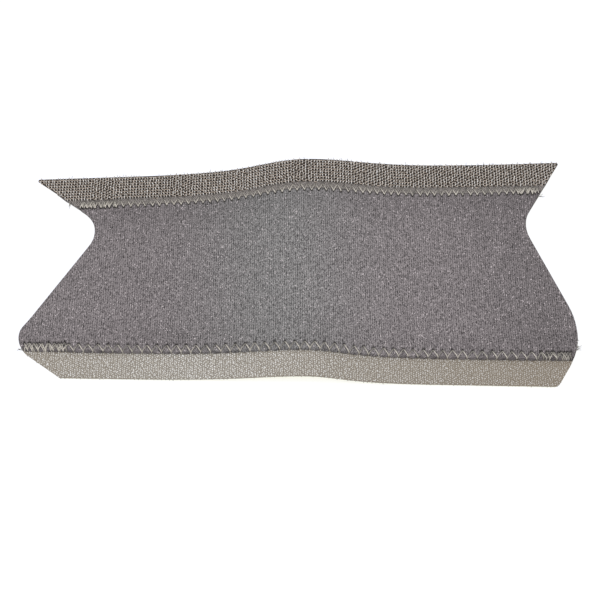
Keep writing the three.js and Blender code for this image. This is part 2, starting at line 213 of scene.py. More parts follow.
def eased(value, knots):
    """A height that goes through knots of (place, height) and eases in and out of each one."""
    places = np.array([place for place, _ in knots])
    heights = np.array([height for _, height in knots])
    index = np.clip(np.searchsorted(places, value) - 1, 0, len(places) - 2)
    share = np.clip((value - places[index]) / (places[index + 1] - places[index]), 0, 1)
    share = share * share * (3 - 2 * share)
    return heights[index] + (heights[index + 1] - heights[index]) * share


# Heights across the guard

LOOP_SIDE_TOP = (
    (PANEL_LOOP_INSET - 0.1 * MM, LOOP_SEAM_TOP - 1.0 * MM),
    (PANEL_LOOP_INSET + 0.75 * MM, LOOP_SEAM_TOP - 0.1 * MM),
    (LOOP_SEAM_FAR, LOOP_SEAM_TOP),
    (LOOP_SEAM_FAR + 2.6 * MM, PANEL_OVER_TAPE + PANEL_THICKNESS * 0.86),
    (RAMP_END + 2 * MM, PANEL_THICKNESS),
)
LOOP_SIDE_BOTTOM = ((RAMP_START - 0.5 * MM, PANEL_OVER_TAPE - 0.05 * MM), (RAMP_END, 0.0))
HOOK_SIDE_TOP = (
    (HOOK_TAPE_WIDTH + 0.05 * MM, HOOK_GROUND_BOTTOM - 0.04 * MM),
    (HOOK_TAPE_WIDTH + 0.75 * MM, HOOK_GROUND_TOP - 0.1 * MM),
    (HOOK_SEAM_NEAR + 0.4 * MM, HOOK_GROUND_TOP - 0.1 * MM),
    (HOOK_SEAM_NEAR + 2.4 * MM, PANEL_THICKNESS),
)
HOOK_SIDE_BOTTOM = (
    (PANEL_HOOK_INSET - 0.3 * MM, 1.1 * MM),
    (HOOK_SEAM_FAR - 1.2 * MM, 0.0),
    (HOOK_SEAM_FAR, HOOK_SEAM_UNDERSIDE),
    (HOOK_SEAM_NEAR, HOOK_SEAM_UNDERSIDE),
    (HOOK_SEAM_NEAR + 1.5 * MM, 0.0),
)


def panel_top(x, y):
    from_loop = eased(half_width(x) + y, LOOP_SIDE_TOP)
    return from_loop + eased(half_width(x) - y, HOOK_SIDE_TOP) - PANEL_THICKNESS


def panel_bottom(x, y):
    return eased(half_width(x) + y, LOOP_SIDE_BOTTOM) + eased(half_width(x) - y, HOOK_SIDE_BOTTOM)


def hook_tape_top(x, y):
    """The tape sags a little where nothing carries it."""
    free = np.clip(1 - (half_width(x) - y) / PANEL_HOOK_INSET, 0, 1)
    return HOOK_GROUND_TOP - TAPE_SAG * free**2


def hook_seam_top(x, y):
    on_panel = np.maximum(HOOK_GROUND_TOP, panel_top(x, y)) + THREAD_DENT
    return np.where(half_width(x) - y < HOOK_TAPE_WIDTH, HOOK_GROUND_TOP - 0.04 * MM, on_panel)


def loop_seam_top(x, y):
    """The needle thread also drops over the panel's cut edge on to the tape."""
    edge = ((PANEL_LOOP_INSET, LOOP_TAPE_TOP + 0.3 * MM), (PANEL_LOOP_INSET + 1.2 * MM, LOOP_SEAM_TOP))
    return np.where(half_width(x) + y < edge[1][0], eased(half_width(x) + y, edge), panel_top(x, y))


def loop_seam_underside(x, y):
    """The bobbin thread lies among the roots of the pile."""
    return np.full_like(x, LOOP_PILE)


# Painted light on the jersey along the guard: brightest a little right of the middle, with painted shade
# towards both ends, most at the wide end
JERSEY_PAINTED_LIGHT = ((-60 * MM, 0.945), (25 * MM, 1.05), (60 * MM, 1.0), (120 * MM, 0.8))


def jersey_painted_light(x, y):
    """Painted shade also darkens the jersey a little towards both seams."""
    from_hook = np.maximum(0, half_width(x) - y - HOOK_SEAM_NEAR)
    from_loop = np.maximum(0, half_width(x) + y - LOOP_SEAM_FAR)
    beside = 0.13 * np.exp(-((from_hook / (13 * MM)) ** 2)) + 0.08 * np.exp(-((from_loop / (7 * MM)) ** 2))
    return eased(x, JERSEY_PAINTED_LIGHT) * (1 - beside)


# Seams: every leg of stitching is one straight run between two needle holes

HOOK_SEAM = {
    "near": hook_edge(HOOK_SEAM_NEAR),
    "far": hook_edge(HOOK_SEAM_FAR),
    "pitch": 3.4 * MM,
    "tacks": (17 * MM, 11 * MM),
    "proud": (0.7, 0.9),
    "tack_proud": (0.72, 0.78),
    # shine: the share of colour a leg keeps at the near and the far row, against the thread's painted shade
    "shine": (1.32, 0.22),
    "top": hook_seam_top,
    "bottom": panel_bottom,
    "seed": 11,
}
LOOP_SEAM = {
    "near": loop_edge(LOOP_SEAM_NEAR),
    "far": loop_edge(LOOP_SEAM_FAR),
    "pitch": 4.4 * MM,
    "tacks": (19 * MM, 15 * MM),
    "proud": (0.4, 1.2),
    "tack_proud": (0.77, 0.36),
    # shine: the share of colour a leg keeps at the near and the far row, against the thread's painted shade
    "shine": (1.25, 0.3),
    "top": loop_seam_top,
    "bottom": loop_seam_underside,
    "seed": 12,
}
TACK_PITCH_SHARES = (0.62, 0.7)

# How much one stitch differs from the next: its holes along and across the seam, and how far it stands proud
SPREAD_ALONG = 0.1 * MM
SPREAD_ACROSS = 0.06 * MM
PROUD_SPREAD = 0.22
PROUDEST = 1.4

# How far thread and needle holes press the cloth beside them, and how far the thread's pull opens the holes.
# Cloth that puffs up between the threads lies flat again beside the seam, and nothing reaches past the band
THREAD_REACH = 0.42 * MM
HOLE_REACH = 0.5 * MM
HOLE_PULL = 0.22 * MM
PUFF_FADE = 1.1 * MM
SEAM_BAND = 2.6 * MM


def seam_legs(seam):
    """Legs as an array of (x1, y1, x2, y2, layer, proud): one zigzag from end to end, and two more over
    each back tack. A leg has sunk into the cloth where its proud is 0."""
    rng = np.random.default_rng(seam["seed"])
    spans = [row_span(seam[side]) for side in ("near", "far")]
    left = max(span[0] for span in spans) + SEAM_END_MARGIN
    right = min(span[1] for span in spans) - SEAM_END_MARGIN
    ends = ((left, left + seam["tacks"][0]), (right, right - seam["tacks"][1]))
    runs = [(left, right, seam["pitch"], 0, seam["proud"])]
    for (start, end), level in zip(ends, seam["tack_proud"]):
        for layer, share in enumerate(TACK_PITCH_SHARES, 1):
            runs.append((start, end, seam["pitch"] * share, layer, (level,)))
    legs = []
    for start, end, pitch, layer, levels in runs:
        holes = max(3, round(2 * abs(end - start) / pitch))
        places = start + (end - start) * np.arange(holes + 1) / holes
        places[1:-1] += rng.normal(0, SPREAD_ALONG * (1 + 1.5 * layer), holes - 1)
        reach = rng.normal(0, SPREAD_ACROSS * (1 + 2 * layer), holes + 1)
        rows = [seam["far"] if (hole + layer) % 2 else seam["near"] for hole in range(holes + 1)]
        points = [(x, across(row, x) + shift) for x, row, shift in zip(places, rows, reach)]
        proud = np.clip(np.resize(levels, holes) + rng.normal(0, PROUD_SPREAD, holes), 0, PROUDEST)
        legs += [(*points[hole], *points[hole + 1], layer, proud[hole]) for hole in range(holes)]
    return np.array(legs)


def seam_holes(seam, outward=0.0):
    """Needle holes, which the pull of the thread opens away from the seam's middle."""
    legs = seam_legs(seam)
    holes = np.unique(np.concatenate((legs[:, :2], legs[:, 2:4])), axis=0)
    middle = (across(seam["near"], holes[:, 0]) + across(seam["far"], holes[:, 0])) / 2
    holes[:, 1] += outward * np.sign(holes[:, 1] - middle)
    return holes


def distance_to_legs(x, y, legs):
    """Distance in plan from each point to the nearest leg."""
    start = legs[:, :2]
    run = legs[:, 2:4] - start
    offset = np.stack((x, y), -1)[:, None] - start
    share = np.clip((offset * run).sum(-1) / (run**2).sum(-1), 0, 1)
    return np.sqrt(((offset - share[..., None] * run) ** 2).sum(-1)).min(1)


def distance_to_holes(x, y, holes):
    offset = np.stack((x, y), -1)[:, None] - holes
    return np.sqrt((offset**2).sum(-1)).min(1)


def seam_relief(x, y, seam):
    """How strongly, from 0 to 1, thread and needle holes press on each point, and where it is loose
    between them."""
    near, far = across(seam["near"], x), across(seam["far"], x)
    lower, upper = np.minimum(near, far), np.maximum(near, far)
    inside = (y > lower - SEAM_BAND) & (y < upper + SEAM_BAND)
    thread, hole, loose = np.zeros_like(x), np.zeros_like(x), np.zeros_like(x)
    near_legs = distance_to_legs(x[inside], y[inside], seam_legs(seam))
    near_holes = distance_to_holes(x[inside], y[inside], seam_holes(seam, HOLE_PULL))
    beyond = np.maximum(lower - y, y - upper)[inside]
    thread[inside] = np.exp(-((near_legs / THREAD_REACH) ** 2))
    hole[inside] = np.exp(-((near_holes / HOLE_REACH) ** 2))
    free = 1 - np.exp(-((near_legs / (1.5 * THREAD_REACH)) ** 2))
    loose[inside] = free * np.exp(-((np.maximum(beyond, 0) / PUFF_FADE) ** 2))
    return thread, hole, loose


# Meshes

SHARP_ANGLE = math.radians(55)

# Walls of the cut edges, as loops of (share of the way down, outset), and the strips where the sponge shows
PANEL_WALL = (
    (0.1, 0.04 * MM),
    (0.2, 0.04 * MM),
    (0.26, -0.03 * MM),
    (0.5, 0.01 * MM),
    (0.76, -0.03 * MM),
    (0.84, 0),
)
SPONGE_STRIPS = (2, 3, 4, 5)
TAPE_WALL = ((0.35, 0.03 * MM), (0.65, 0.03 * MM))

# How far the faces of a sheet drop at its cut edges
PANEL_DROP = (0.14 * MM, 0.1 * MM)
TAPE_DROP = 0.08 * MM

# Points along the guard on each row of a sheet
PANEL_COLUMNS = 540
HOOK_TAPE_COLUMNS = 540
LOOP_TAPE_COLUMNS = 480


def make_object(name, mesh):
    piece = bpy.data.objects.new(name, mesh)
    bpy.context.scene.collection.objects.link(piece)
    return piece


def plan_grid(rows, columns):
    """Points of the plan on every row, from cut end to cut end, with a narrow first and last column."""
    narrow = ROUNDING / LENGTH
    shares = np.concatenate(([0], np.linspace(narrow, 1 - narrow, columns - 1), [1]))
    spans = [row_span(row) for row in rows]
    x = np.array([start + (end - start) * shares for start, end in spans])
    y = np.array([across(row, line) for row, line in zip(rows, x)])
    return x, y


def rim_of(rows, columns):
    index = np.arange(rows * columns).reshape(rows, columns)
    return np.concatenate((index[0, :-1], index[:-1, -1], index[-1, :0:-1], index[:0:-1, 0]))


def closed_sheet(name, x, y, upper, lower, wall, attributes, core=()):
    """A closed sheet between two grids of heights. The wall round it is loops of (share of the way down,
    outset), and the strips of it named in core take the second material."""
    rows, columns = x.shape
    top = placed(x, y, upper).reshape(-1, 3)
    bottom = placed(x, y, lower).reshape(-1, 3)
    steps = np.linalg.norm(np.diff(placed(x, y, 0 * x), axis=1), axis=-1)
    along = np.concatenate((np.zeros((rows, 1)), np.cumsum(steps, 1)), 1)
    along -= np.array([np.interp(0, line, run) for line, run in zip(x, along)])[:, None]
    flat = np.stack((along, y), -1).reshape(-1, 2)
    rim = rim_of(rows, columns)
    run = np.roll(top[rim], -1, 0) - np.roll(top[rim], 1, 0)
    outward = np.stack((run[:, 1], -run[:, 0], 0 * run[:, 0]), -1)
    outward /= np.linalg.norm(outward, axis=1)[:, None]
    loops = [top[rim] + (bottom[rim] - top[rim]) * share + outward * outset for share, outset in wall]
    points = np.concatenate([top, bottom, *loops])
    uv = np.concatenate([flat, flat] + [flat[rim]] * len(wall))
    index = np.arange(rows * columns).reshape(rows, columns)
    quads = np.stack((index[:-1, :-1], index[:-1, 1:], index[1:, 1:], index[1:, :-1]), -1).reshape(-1, 4)
    chain = [rim] + [2 * rows * columns + step * len(rim) + np.arange(len(rim)) for step in range(len(wall))]
    chain.append(rim + rows * columns)
    strips = [
        np.stack((over, under, np.roll(under, -1), np.roll(over, -1)), -1)
        for over, under in zip(chain, chain[1:])
    ]
    faces = np.concatenate([quads, quads[:, ::-1] + rows * columns, *strips])
    mesh = bpy.data.meshes.new(name)
    mesh.from_pydata(points.tolist(), [], faces.tolist())
    layer = mesh.uv_layers.new(name="UVMap")
    corners = np.zeros(len(mesh.loops), np.int32)
    mesh.loops.foreach_get("vertex_index", corners)
    layer.data.foreach_set("uv", uv[corners].ravel().astype(np.float32))
    for key, (over, under) in attributes.items():
        values = np.concatenate([over.ravel(), under.ravel()] + [over.ravel()[rim]] * len(wall))
        mesh.attributes.new(key, "FLOAT", "POINT").data.foreach_set("value", values.astype(np.float32))
    slots = np.zeros(len(faces), np.int32)
    for strip in core:
        first = 2 * len(quads) + strip * len(rim)
        slots[first : first + len(rim)] = 1
    mesh.polygons.foreach_set("material_index", slots)
    mesh.shade_smooth()
    mesh.set_sharp_from_angle(angle=SHARP_ANGLE)
    return make_object(name, mesh)


def rounded(heights, depth):
    """Heights that drop by depth round the edge of the grid."""
    result = heights.copy()
    for edge in (np.s_[0, :], np.s_[-1, :], np.s_[:, 0], np.s_[:, -1]):
        result[edge] = heights[edge] - depth
    return result


def point_mesh(name, points, turns):
    """Loose points, each with the turn of the copy that will stand on it."""
    mesh = bpy.data.meshes.new(name)
    mesh.from_pydata(points.tolist(), [], [])
    mesh.attributes.new("turn", "FLOAT_VECTOR", "POINT").data.foreach_set("vector", turns.ravel())
    return make_object(name, mesh)


def path_mesh(name, paths, tones=()):
    """Polylines as edges, with a tone at each point where tones are given."""
    mesh = bpy.data.meshes.new(name)
    points = np.concatenate(paths)
    edges = []
    first = 0
    for path in paths:
        edges += [(first + step, first + step + 1) for step in range(len(path) - 1)]
        first += len(path)
    mesh.from_pydata(points.tolist(), edges, [])
    if tones:
        values = np.concatenate(tones).astype(np.float32)
        mesh.attributes.new("tone", "FLOAT", "POINT").data.foreach_set("value", values)
    return make_object(name, mesh)


def surface_turn(x, y, facing):
    """Turns that stand a copy upright on the hump, facing the given way round Z."""
    step = 0.5 * MM
    slope_x = (lift(x + step, y) - lift(x - step, y)) / (2 * step)
    slope_y = (lift(x, y + step) - lift(x, y - step)) / (2 * step)
    sign = np.where(np.cos(facing) < 0, -1, 1)
    return np.stack((np.arctan(slope_y) * sign, -np.arctan(slope_x) * sign, facing), -1)


# Node trees


class Sketch:
    """Adds nodes to a tree and links them, so that a tree reads as a list of steps."""

    def __init__(self, tree):
        self.tree = tree

    def add(self, kind, inputs=None, **settings):
        node = self.tree.nodes.new(kind)
        for key, value in settings.items():
            setattr(node, key, value)
        for key, value in (inputs or {}).items():
            named = [socket for socket in node.inputs if socket.name == key and socket.enabled]
            for socket, item in zip(named, value if isinstance(value, list) else [value]):
                if isinstance(item, bpy.types.NodeSocket):
                    self.tree.links.new(item, socket)
                else:
                    socket.default_value = item
        return node

    def out(self, kind, inputs=None, output=None, **settings):
        node = self.add(kind, inputs, **settings)
        usable = [socket for socket in node.outputs if socket.enabled]
        return node.outputs[output] if output else usable[0]

    def maths(self, operation, *values):
        return self.out("ShaderNodeMath", {"Value": list(values)}, operation=operation)

    def blend(self, factor, first, second):
        return self.out("ShaderNodeMix", {"Factor": factor, "A": first, "B": second}, data_type="RGBA")

    def noise(self, vector, scale, detail=2.0):
        return self.out("ShaderNodeTexNoise", {"Vector": vector, "Scale": scale, "Detail": detail}, "Fac")

    def attribute(self, name, output="Fac"):
        return self.out("ShaderNodeAttribute", output=output, attribute_name=name)

    def split(self, vector):
        node = self.add("ShaderNodeSeparateXYZ", {"Vector": vector})
        return node.outputs["X"], node.outputs["Y"], node.outputs["Z"]

    def cell(self, first, second):
        """A random value for each whole step of two measures."""
        steps = {"X": self.maths("FLOOR", first), "Y": self.maths("FLOOR", second)}
        corner = self.out("ShaderNodeCombineXYZ", steps)
        return self.out("ShaderNodeTexWhiteNoise", {"Vector": corner}, "Value")

    def painted_falloff(self, colour, falloff, palest=-45 * MM, reach=170 * MM):
        """A colour with painted falloff of light: it darkens and warms along the guard, away from where it is
        brightest.
        """
        x, _, _ = self.split(self.out("ShaderNodeTexCoord", output="Object"))
        away = self.maths("ABSOLUTE", self.maths("SUBTRACT", x, palest))
        return self.blend(self.maths("MULTIPLY", away, falloff / reach), colour, PAINTED_FALLOFF_SHADE)


# Painted colours: the warm dark that the painted falloff of light along the tapes blends towards, and the
# painted shade in needle holes in the jersey and in the tapes
PAINTED_FALLOFF_SHADE = (0.18, 0.12, 0.06, 1.0)
JERSEY_HOLE_SHADE = (0.012, 0.011, 0.011, 1.0)
TAPE_HOLE_SHADE = (0.015, 0.014, 0.013, 1.0)

# The jersey's fibres: how many lie across a wale and a course, how finely they stray, and which are pale
FIBRES_ACROSS_WALE = 3.1
FIBRES_ACROSS_COURSE = 1.65
FIBRE_STRAY = 2200.0
PALE_FIBRE = 0.986

# The painted sheen along the jersey's old fold: where it lies and how far it reaches
FOLD_SHEEN_PLACE = -10 * MM
FOLD_SHEEN_REACH = 36 * MM

# How many cells of the sponge lie along a metre, and how far it is along a thread from one ply to the next
SPONGE_CELLS = 4500.0
PLY_TWIST = 0.9 * MM


def shade(colour, share):
    """A colour made lighter or darker by a share."""
    return tuple(min(1.0, channel * share) for channel in colour[:3]) + (1.0,)


def finish_material(name, roughness, sheen=0.0, specular=0.3):
    """An empty cloth or yarn finish: its sketch and its shader."""
    material = bpy.data.materials.new(name)
    material.use_nodes = True
    shader = material.node_tree.nodes["Principled BSDF"]
    shader.inputs["Roughness"].default_value = roughness
    shader.inputs["Specular IOR Level"].default_value = specular
    shader.inputs["Sheen Weight"].default_value = sheen
    return material, Sketch(material.node_tree), shader


def wire(sketch, shader, colour, height=None, depth=0.0):
    sketch.tree.links.new(colour, shader.inputs["Base Color"])
    if height is not None:
        bump = sketch.out("ShaderNodeBump", {"Strength": 1.0, "Distance": depth, "Height": height})
        sketch.tree.links.new(bump, shader.inputs["Normal"])


def jersey_material(looks):
    """Knitted nylon jersey: wales run across the guard, and each V stitch has its own tone of yarn."""
    material, sketch, shader = finish_material("grey_jersey", 0.92, sheen=0.05, specular=0.2)
    u, v, _ = sketch.split(sketch.out("ShaderNodeUVMap", uv_map="UVMap"))
    wale = sketch.maths("DIVIDE", u, looks.wale)
    course = sketch.maths("DIVIDE", v, looks.course)
    in_wale = sketch.maths("ABSOLUTE", sketch.maths("SUBTRACT", sketch.maths("FRACT", wale), 0.5))
    slanted = sketch.maths("ADD", course, in_wale)
    stitch = sketch.maths("SINE", sketch.maths("MULTIPLY", slanted, 2 * math.pi))
    swell = sketch.maths("COSINE", sketch.maths("MULTIPLY", wale, 2 * math.pi))
    rib = sketch.maths("MULTIPLY_ADD", swell, -0.5, 0.5)
    relief = sketch.maths("MULTIPLY_ADD", stitch, 0.3, rib)
    yarn = sketch.cell(sketch.maths("MULTIPLY", wale, 2.0), slanted)
    place = sketch.out("ShaderNodeTexCoord", output="Object")
    stray = sketch.noise(place, FIBRE_STRAY, 1.0)
    column = sketch.maths("MULTIPLY_ADD", wale, FIBRES_ACROSS_WALE, stray)
    row = sketch.maths("MULTIPLY_ADD", slanted, FIBRES_ACROSS_COURSE, stray)
    fibre = sketch.cell(column, row)
    tone = sketch.maths("MULTIPLY_ADD", yarn, 0.15, fibre)
    # Painted light and shade on the knit: the raised middles of the wales are painted lighter than the
    # grooves between them
    tone = sketch.maths("MULTIPLY_ADD", rib, 0.36, tone)
    cloudy = sketch.maths("MULTIPLY", sketch.noise(place, 45.0, 3.0), 0.05)
    # Painted sheen: the jersey's base colour turns a little lighter and bluer along its old fold
    sheen_share = sketch.split(place)[0]
    sheen_share = sketch.maths("DIVIDE", sketch.maths("SUBTRACT", sheen_share, FOLD_SHEEN_PLACE), FOLD_SHEEN_REACH)
    sheen_share = sketch.maths("EXPONENT", sketch.maths("MULTIPLY", sketch.maths("POWER", sheen_share, 2.0), -1.0))
    base = sketch.blend(sheen_share, (*looks.jersey, 1.0), (*looks.jersey_fold_sheen, 1.0))
    base = sketch.blend(cloudy, base, shade(looks.jersey, 0.6))
    # The tone attribute brings in the painted light and shade of the jersey along the guard and beside its
    # seams
    tone = sketch.maths("MULTIPLY", sketch.maths("MULTIPLY_ADD", tone, 1.5, -0.01), sketch.attribute("tone"))
    colour = sketch.out("ShaderNodeVectorMath", {"Vector": base, "Scale": tone}, operation="SCALE")
    fleck = sketch.maths("GREATER_THAN", fibre, PALE_FIBRE)
    colour = sketch.blend(sketch.maths("MULTIPLY", fleck, 0.65), colour, shade(looks.jersey, 4.2))
    # Painted shade from the hole attribute: needle holes, grooves beside the thread and the cut edge over the
    # loop tape are painted dark
    colour = sketch.blend(sketch.attribute("hole"), colour, JERSEY_HOLE_SHADE)
    wire(sketch, shader, colour, relief, 0.1 * MM)
    return material


def foam_material(looks):
    """The cut edge of the neoprene sponge, with its fine cells."""
    material, sketch, shader = finish_material("grey_sponge", 0.95, specular=0.2)
    place = sketch.out("ShaderNodeTexCoord", output="Object")
    cells = sketch.out("ShaderNodeTexVoronoi", {"Vector": place, "Scale": SPONGE_CELLS}, "Distance")
    colour = sketch.blend(cells, shade(looks.foam, 0.6), shade(looks.foam, 1.9))
    # The same painted shade darkens the sponge at needle holes and along the cut edge
    colour = sketch.blend(sketch.attribute("hole"), colour, JERSEY_HOLE_SHADE)
    wire(sketch, shader, colour, cells, 0.1 * MM)
    return material


def woven_material(name, colour, pitch, contrast, falloff=0.0, field=None):
    """Plain woven tape, with warp over weft at each pitch. Between the hooks a field colour paints the shade
    that the hooks cast on the ground.
    """
    material, sketch, shader = finish_material(name, 0.85)
    u, v, _ = sketch.split(sketch.out("ShaderNodeUVMap", uv_map="UVMap"))
    warp = sketch.maths("SINE", sketch.maths("MULTIPLY", u, 2 * math.pi / pitch[0]))
    weft = sketch.maths("SINE", sketch.maths("MULTIPLY", v, 2 * math.pi / pitch[1]))
    relief = sketch.maths("MULTIPLY_ADD", sketch.maths("MULTIPLY", warp, weft), 0.5, 0.5)
    spot = {"X": sketch.maths("DIVIDE", u, pitch[0] / 2), "Y": sketch.maths("DIVIDE", v, pitch[1] / 2)}
    yarn = sketch.noise(sketch.out("ShaderNodeCombineXYZ", spot), 1.1, 1.0)
    yarn = sketch.out("ShaderNodeClamp", {"Value": sketch.maths("MULTIPLY_ADD", yarn, 4.0, -1.5)})
    # Painted light and shade on the weave: its raised crossings are painted lighter than the hollows
    tone = sketch.maths("MULTIPLY_ADD", yarn, 0.6, sketch.maths("MULTIPLY", relief, 0.4))
    cloth = sketch.blend(tone, shade(colour, 1 - contrast), shade(colour, 1 + contrast))
    if field:
        # Painted shade on the ground between the hooks
        shadowed = sketch.blend(tone, shade(field, 0.5), shade(field, 1.5))
        cloth = sketch.blend(sketch.attribute("field"), cloth, shadowed)
    # Painted falloff of light along the guard
    cloth = sketch.painted_falloff(cloth, falloff)
    # Painted shade in the needle holes
    hole = sketch.maths("MULTIPLY", sketch.attribute("hole"), 0.8)
    wire(sketch, shader, sketch.blend(hole, cloth, TAPE_HOLE_SHADE), relief, 0.12 * MM)
    return material


def yarn_material(name, colour, spread, roughness, falloff=0.0):
    """Yarn or filament, with a tone that changes from one strand to the next."""
    material, sketch, shader = finish_material(name, roughness, 0.1, 0.35)
    place = sketch.out("ShaderNodeTexCoord", output="Object")
    tone = sketch.noise(place, 900.0, 1.0)
    strand = sketch.maths("MULTIPLY_ADD", sketch.maths("SUBTRACT", tone, 0.5), 2.2, 0.5)
    cloth = sketch.blend(strand, shade(colour, 1 - spread), shade(colour, 1 + spread))
    # Painted falloff of light along the guard, where a share of it is given
    wire(sketch, shader, sketch.painted_falloff(cloth, falloff))
    return material


def thread_material(looks):
    """Three plies twisted together: the twist is read from the values that the path carries."""
    material, sketch, shader = finish_material("twisted_thread", 0.38, 0.1, 0.5)
    x, y, _ = sketch.split(sketch.attribute("around", "Vector"))
    angle = sketch.maths("MULTIPLY", sketch.maths("ARCTAN2", y, x), 3.0)
    turns = sketch.maths("MULTIPLY", sketch.attribute("along"), 2 * math.pi / PLY_TWIST)
    ply = sketch.maths("MULTIPLY_ADD", sketch.maths("SINE", sketch.maths("SUBTRACT", angle, turns)), 0.5, 0.5)
    fuzz = sketch.noise(sketch.out("ShaderNodeTexCoord", output="Object"), 700.0, 1.0)
    yarn = sketch.blend(fuzz, shade(looks.thread, 0.6), shade(looks.thread, 1.25))
    yarn = sketch.blend(sketch.maths("MULTIPLY", ply, 0.35), yarn, shade(looks.thread, 0.25))
    # Painted shade on the thread: legs whose tone is below 1 are painted darker
    sunk = sketch.maths("SUBTRACT", 1.0, sketch.attribute("tone"))
    sunk = sketch.out("ShaderNodeClamp", {"Value": sunk})
    wire(sketch, shader, sketch.blend(sunk, yarn, shade(looks.thread, 0.15)), ply, 0.06 * MM)
    return material


# Repeating trees


def new_tree(name, sizes):
    """A geometry tree with its named inputs, and its sketch and input node."""
    tree = bpy.data.node_groups.new(name, "GeometryNodeTree")
    tree.interface.new_socket("Geometry", in_out="INPUT", socket_type="NodeSocketGeometry")
    for key, value in sizes.items():
        kind = "NodeSocketInt" if isinstance(value, int) else "NodeSocketFloat"
        tree.interface.new_socket(key, in_out="INPUT", socket_type=kind)
    tree.interface.new_socket("Material", in_out="INPUT", socket_type="NodeSocketMaterial")
    tree.interface.new_socket("Geometry", in_out="OUTPUT", socket_type="NodeSocketGeometry")
    sketch = Sketch(tree)
    given = sketch.add("NodeGroupInput").outputs
    return tree, sketch, given


def close_tree(sketch, given, geometry):
    """Every tree ends in real geometry with its finish."""
    real = sketch.out("GeometryNodeRealizeInstances", {"Geometry": geometry})
    smooth = sketch.out("GeometryNodeSetShadeSmooth", {"Geometry": real})
    done = sketch.out("GeometryNodeSetMaterial", {"Geometry": smooth, "Material": given["Material"]})
    sketch.add("NodeGroupOutput", {"Geometry": done})


def vector_of(sketch, x, y, z):
    return sketch.out("ShaderNodeCombineXYZ", {"X": x, "Y": y, "Z": z})


def share_point(sketch, across_size, height, shares):
    """A point at shares of a copy's size across and of its height."""
    sizes = (across_size, across_size, height)
    return vector_of(sketch, *(sketch.maths("MULTIPLY", size, share) for size, share in zip(sizes, shares)))


def scatter(sketch, given, copy):
    """Stands a copy on each point, turned as the point says, with a little disorder."""
    turn = sketch.out("GeometryNodeInputNamedAttribute", {"Name": "turn"}, data_type="FLOAT_VECTOR")
    most = given["Turn jitter"]
    least = sketch.out("ShaderNodeVectorMath", {"Vector": most, "Scale": -1.0}, operation="SCALE")
    jitter = sketch.out(
        "FunctionNodeRandomValue",
        {"Min": least, "Max": most, "Seed": given["Seed"]},
        data_type="FLOAT_VECTOR",
    )
    turned = sketch.out("ShaderNodeVectorMath", {"Vector": [turn, jitter]}, operation="ADD")
    size = sketch.out(
        "FunctionNodeRandomValue",
        {"Min": given["Smallest"], "Max": 1.0, "Seed": sketch.maths("ADD", given["Seed"], 1.0)},
        data_type="FLOAT",
    )
    return sketch.out(
        "GeometryNodeInstanceOnPoints",
        {
            "Points": given["Geometry"],
            "Instance": copy,
            "Rotation": sketch.out("FunctionNodeEulerToRotation", {"Euler": turned}),
            "Scale": vector_of(sketch, size, size, size),
        },
    )


def tube(sketch, curve, profile):
    parts = {"Curve": curve, "Profile Curve": profile, "Fill Caps": True}
    return sketch.out("GeometryNodeCurveToMesh", parts)


def filament(sketch, curve, radius, sides):
    profile = sketch.out("GeometryNodeCurvePrimitiveCircle", {"Resolution": sides, "Radius": radius})
    return tube(sketch, curve, profile)


def hook_tree():
    """A field of hooks: each is a bent filament, beside the stub that was cut away from it."""
    sizes = {"Height": 0.0, "Reach": 0.0, "Radius": 0.0, "Turn jitter": 0.0, "Smallest": 0.0, "Seed": 0}
    tree, sketch, given = new_tree("hook_field", sizes)
    reach, height = given["Reach"], given["Height"]
    bend = sketch.out(
        "GeometryNodeCurvePrimitiveBezierSegment",
        {
            "Resolution": 7,
            "Start": share_point(sketch, reach, height, (0.0, -0.42, -0.06)),
            "Start Handle": share_point(sketch, reach, height, (0.0, -0.62, 1.3)),
            "End Handle": share_point(sketch, reach, height, (0.0, 0.85, 1.42)),
            "End": share_point(sketch, reach, height, (0.0, 0.5, 0.5)),
        },
    )
    stub = sketch.out(
        "GeometryNodeCurvePrimitiveLine",
        {
            "Start": share_point(sketch, reach, height, (0.0, 0.42, -0.06)),
            "End": share_point(sketch, reach, height, (0.0, 0.56, 0.3)),
        },
    )
    join = sketch.add("GeometryNodeJoinGeometry")
    for curve in (bend, stub):
        tree.links.new(filament(sketch, curve, given["Radius"], 5), join.inputs[0])
    close_tree(sketch, given, scatter(sketch, given, join.outputs[0]))
    return tree


def loop_tree():
    """A pile of soft loops: each is a bent filament with both feet in the tape."""
    sizes = {"Height": 0.0, "Width": 0.0, "Radius": 0.0, "Turn jitter": 0.0, "Smallest": 0.0, "Seed": 0}
    tree, sketch, given = new_tree("loop_pile", sizes)
    width, height = given["Width"], given["Height"]
    bend = sketch.out(
        "GeometryNodeCurvePrimitiveBezierSegment",
        {
            "Resolution": 6,
            "Start": share_point(sketch, width, height, (0.0, -0.2, 0.06)),
            "Start Handle": share_point(sketch, width, height, (0.3, -0.75, -1.3)),
            "End Handle": share_point(sketch, width, height, (-0.3, 0.75, -1.3)),
            "End": share_point(sketch, width, height, (0.0, 0.2, 0.06)),
        },
    )
    close_tree(sketch, given, scatter(sketch, given, filament(sketch, bend, given["Radius"], 3)))
    return tree


def weave_tree():
    """Raised yarns of a woven back: each is a grain that dips into the cloth at both ends."""
    sizes = {"Width": 0.0, "Run": 0.0, "Rise": 0.0, "Turn jitter": 0.0, "Smallest": 0.0, "Seed": 0}
    tree, sketch, given = new_tree("woven_floats", sizes)
    grain = sketch.out("GeometryNodeMeshUVSphere", {"Segments": 6, "Rings": 4, "Radius": 1.0}, "Mesh")
    stretch = vector_of(sketch, given["Width"], given["Rise"], given["Run"])
    shaped = sketch.out("GeometryNodeTransform", {"Geometry": grain, "Scale": stretch})
    laid = sketch.out("GeometryNodeTransform", {"Geometry": shaped, "Rotation": (math.radians(90), 0.0, 0.0)})
    close_tree(sketch, given, scatter(sketch, given, laid))
    return tree


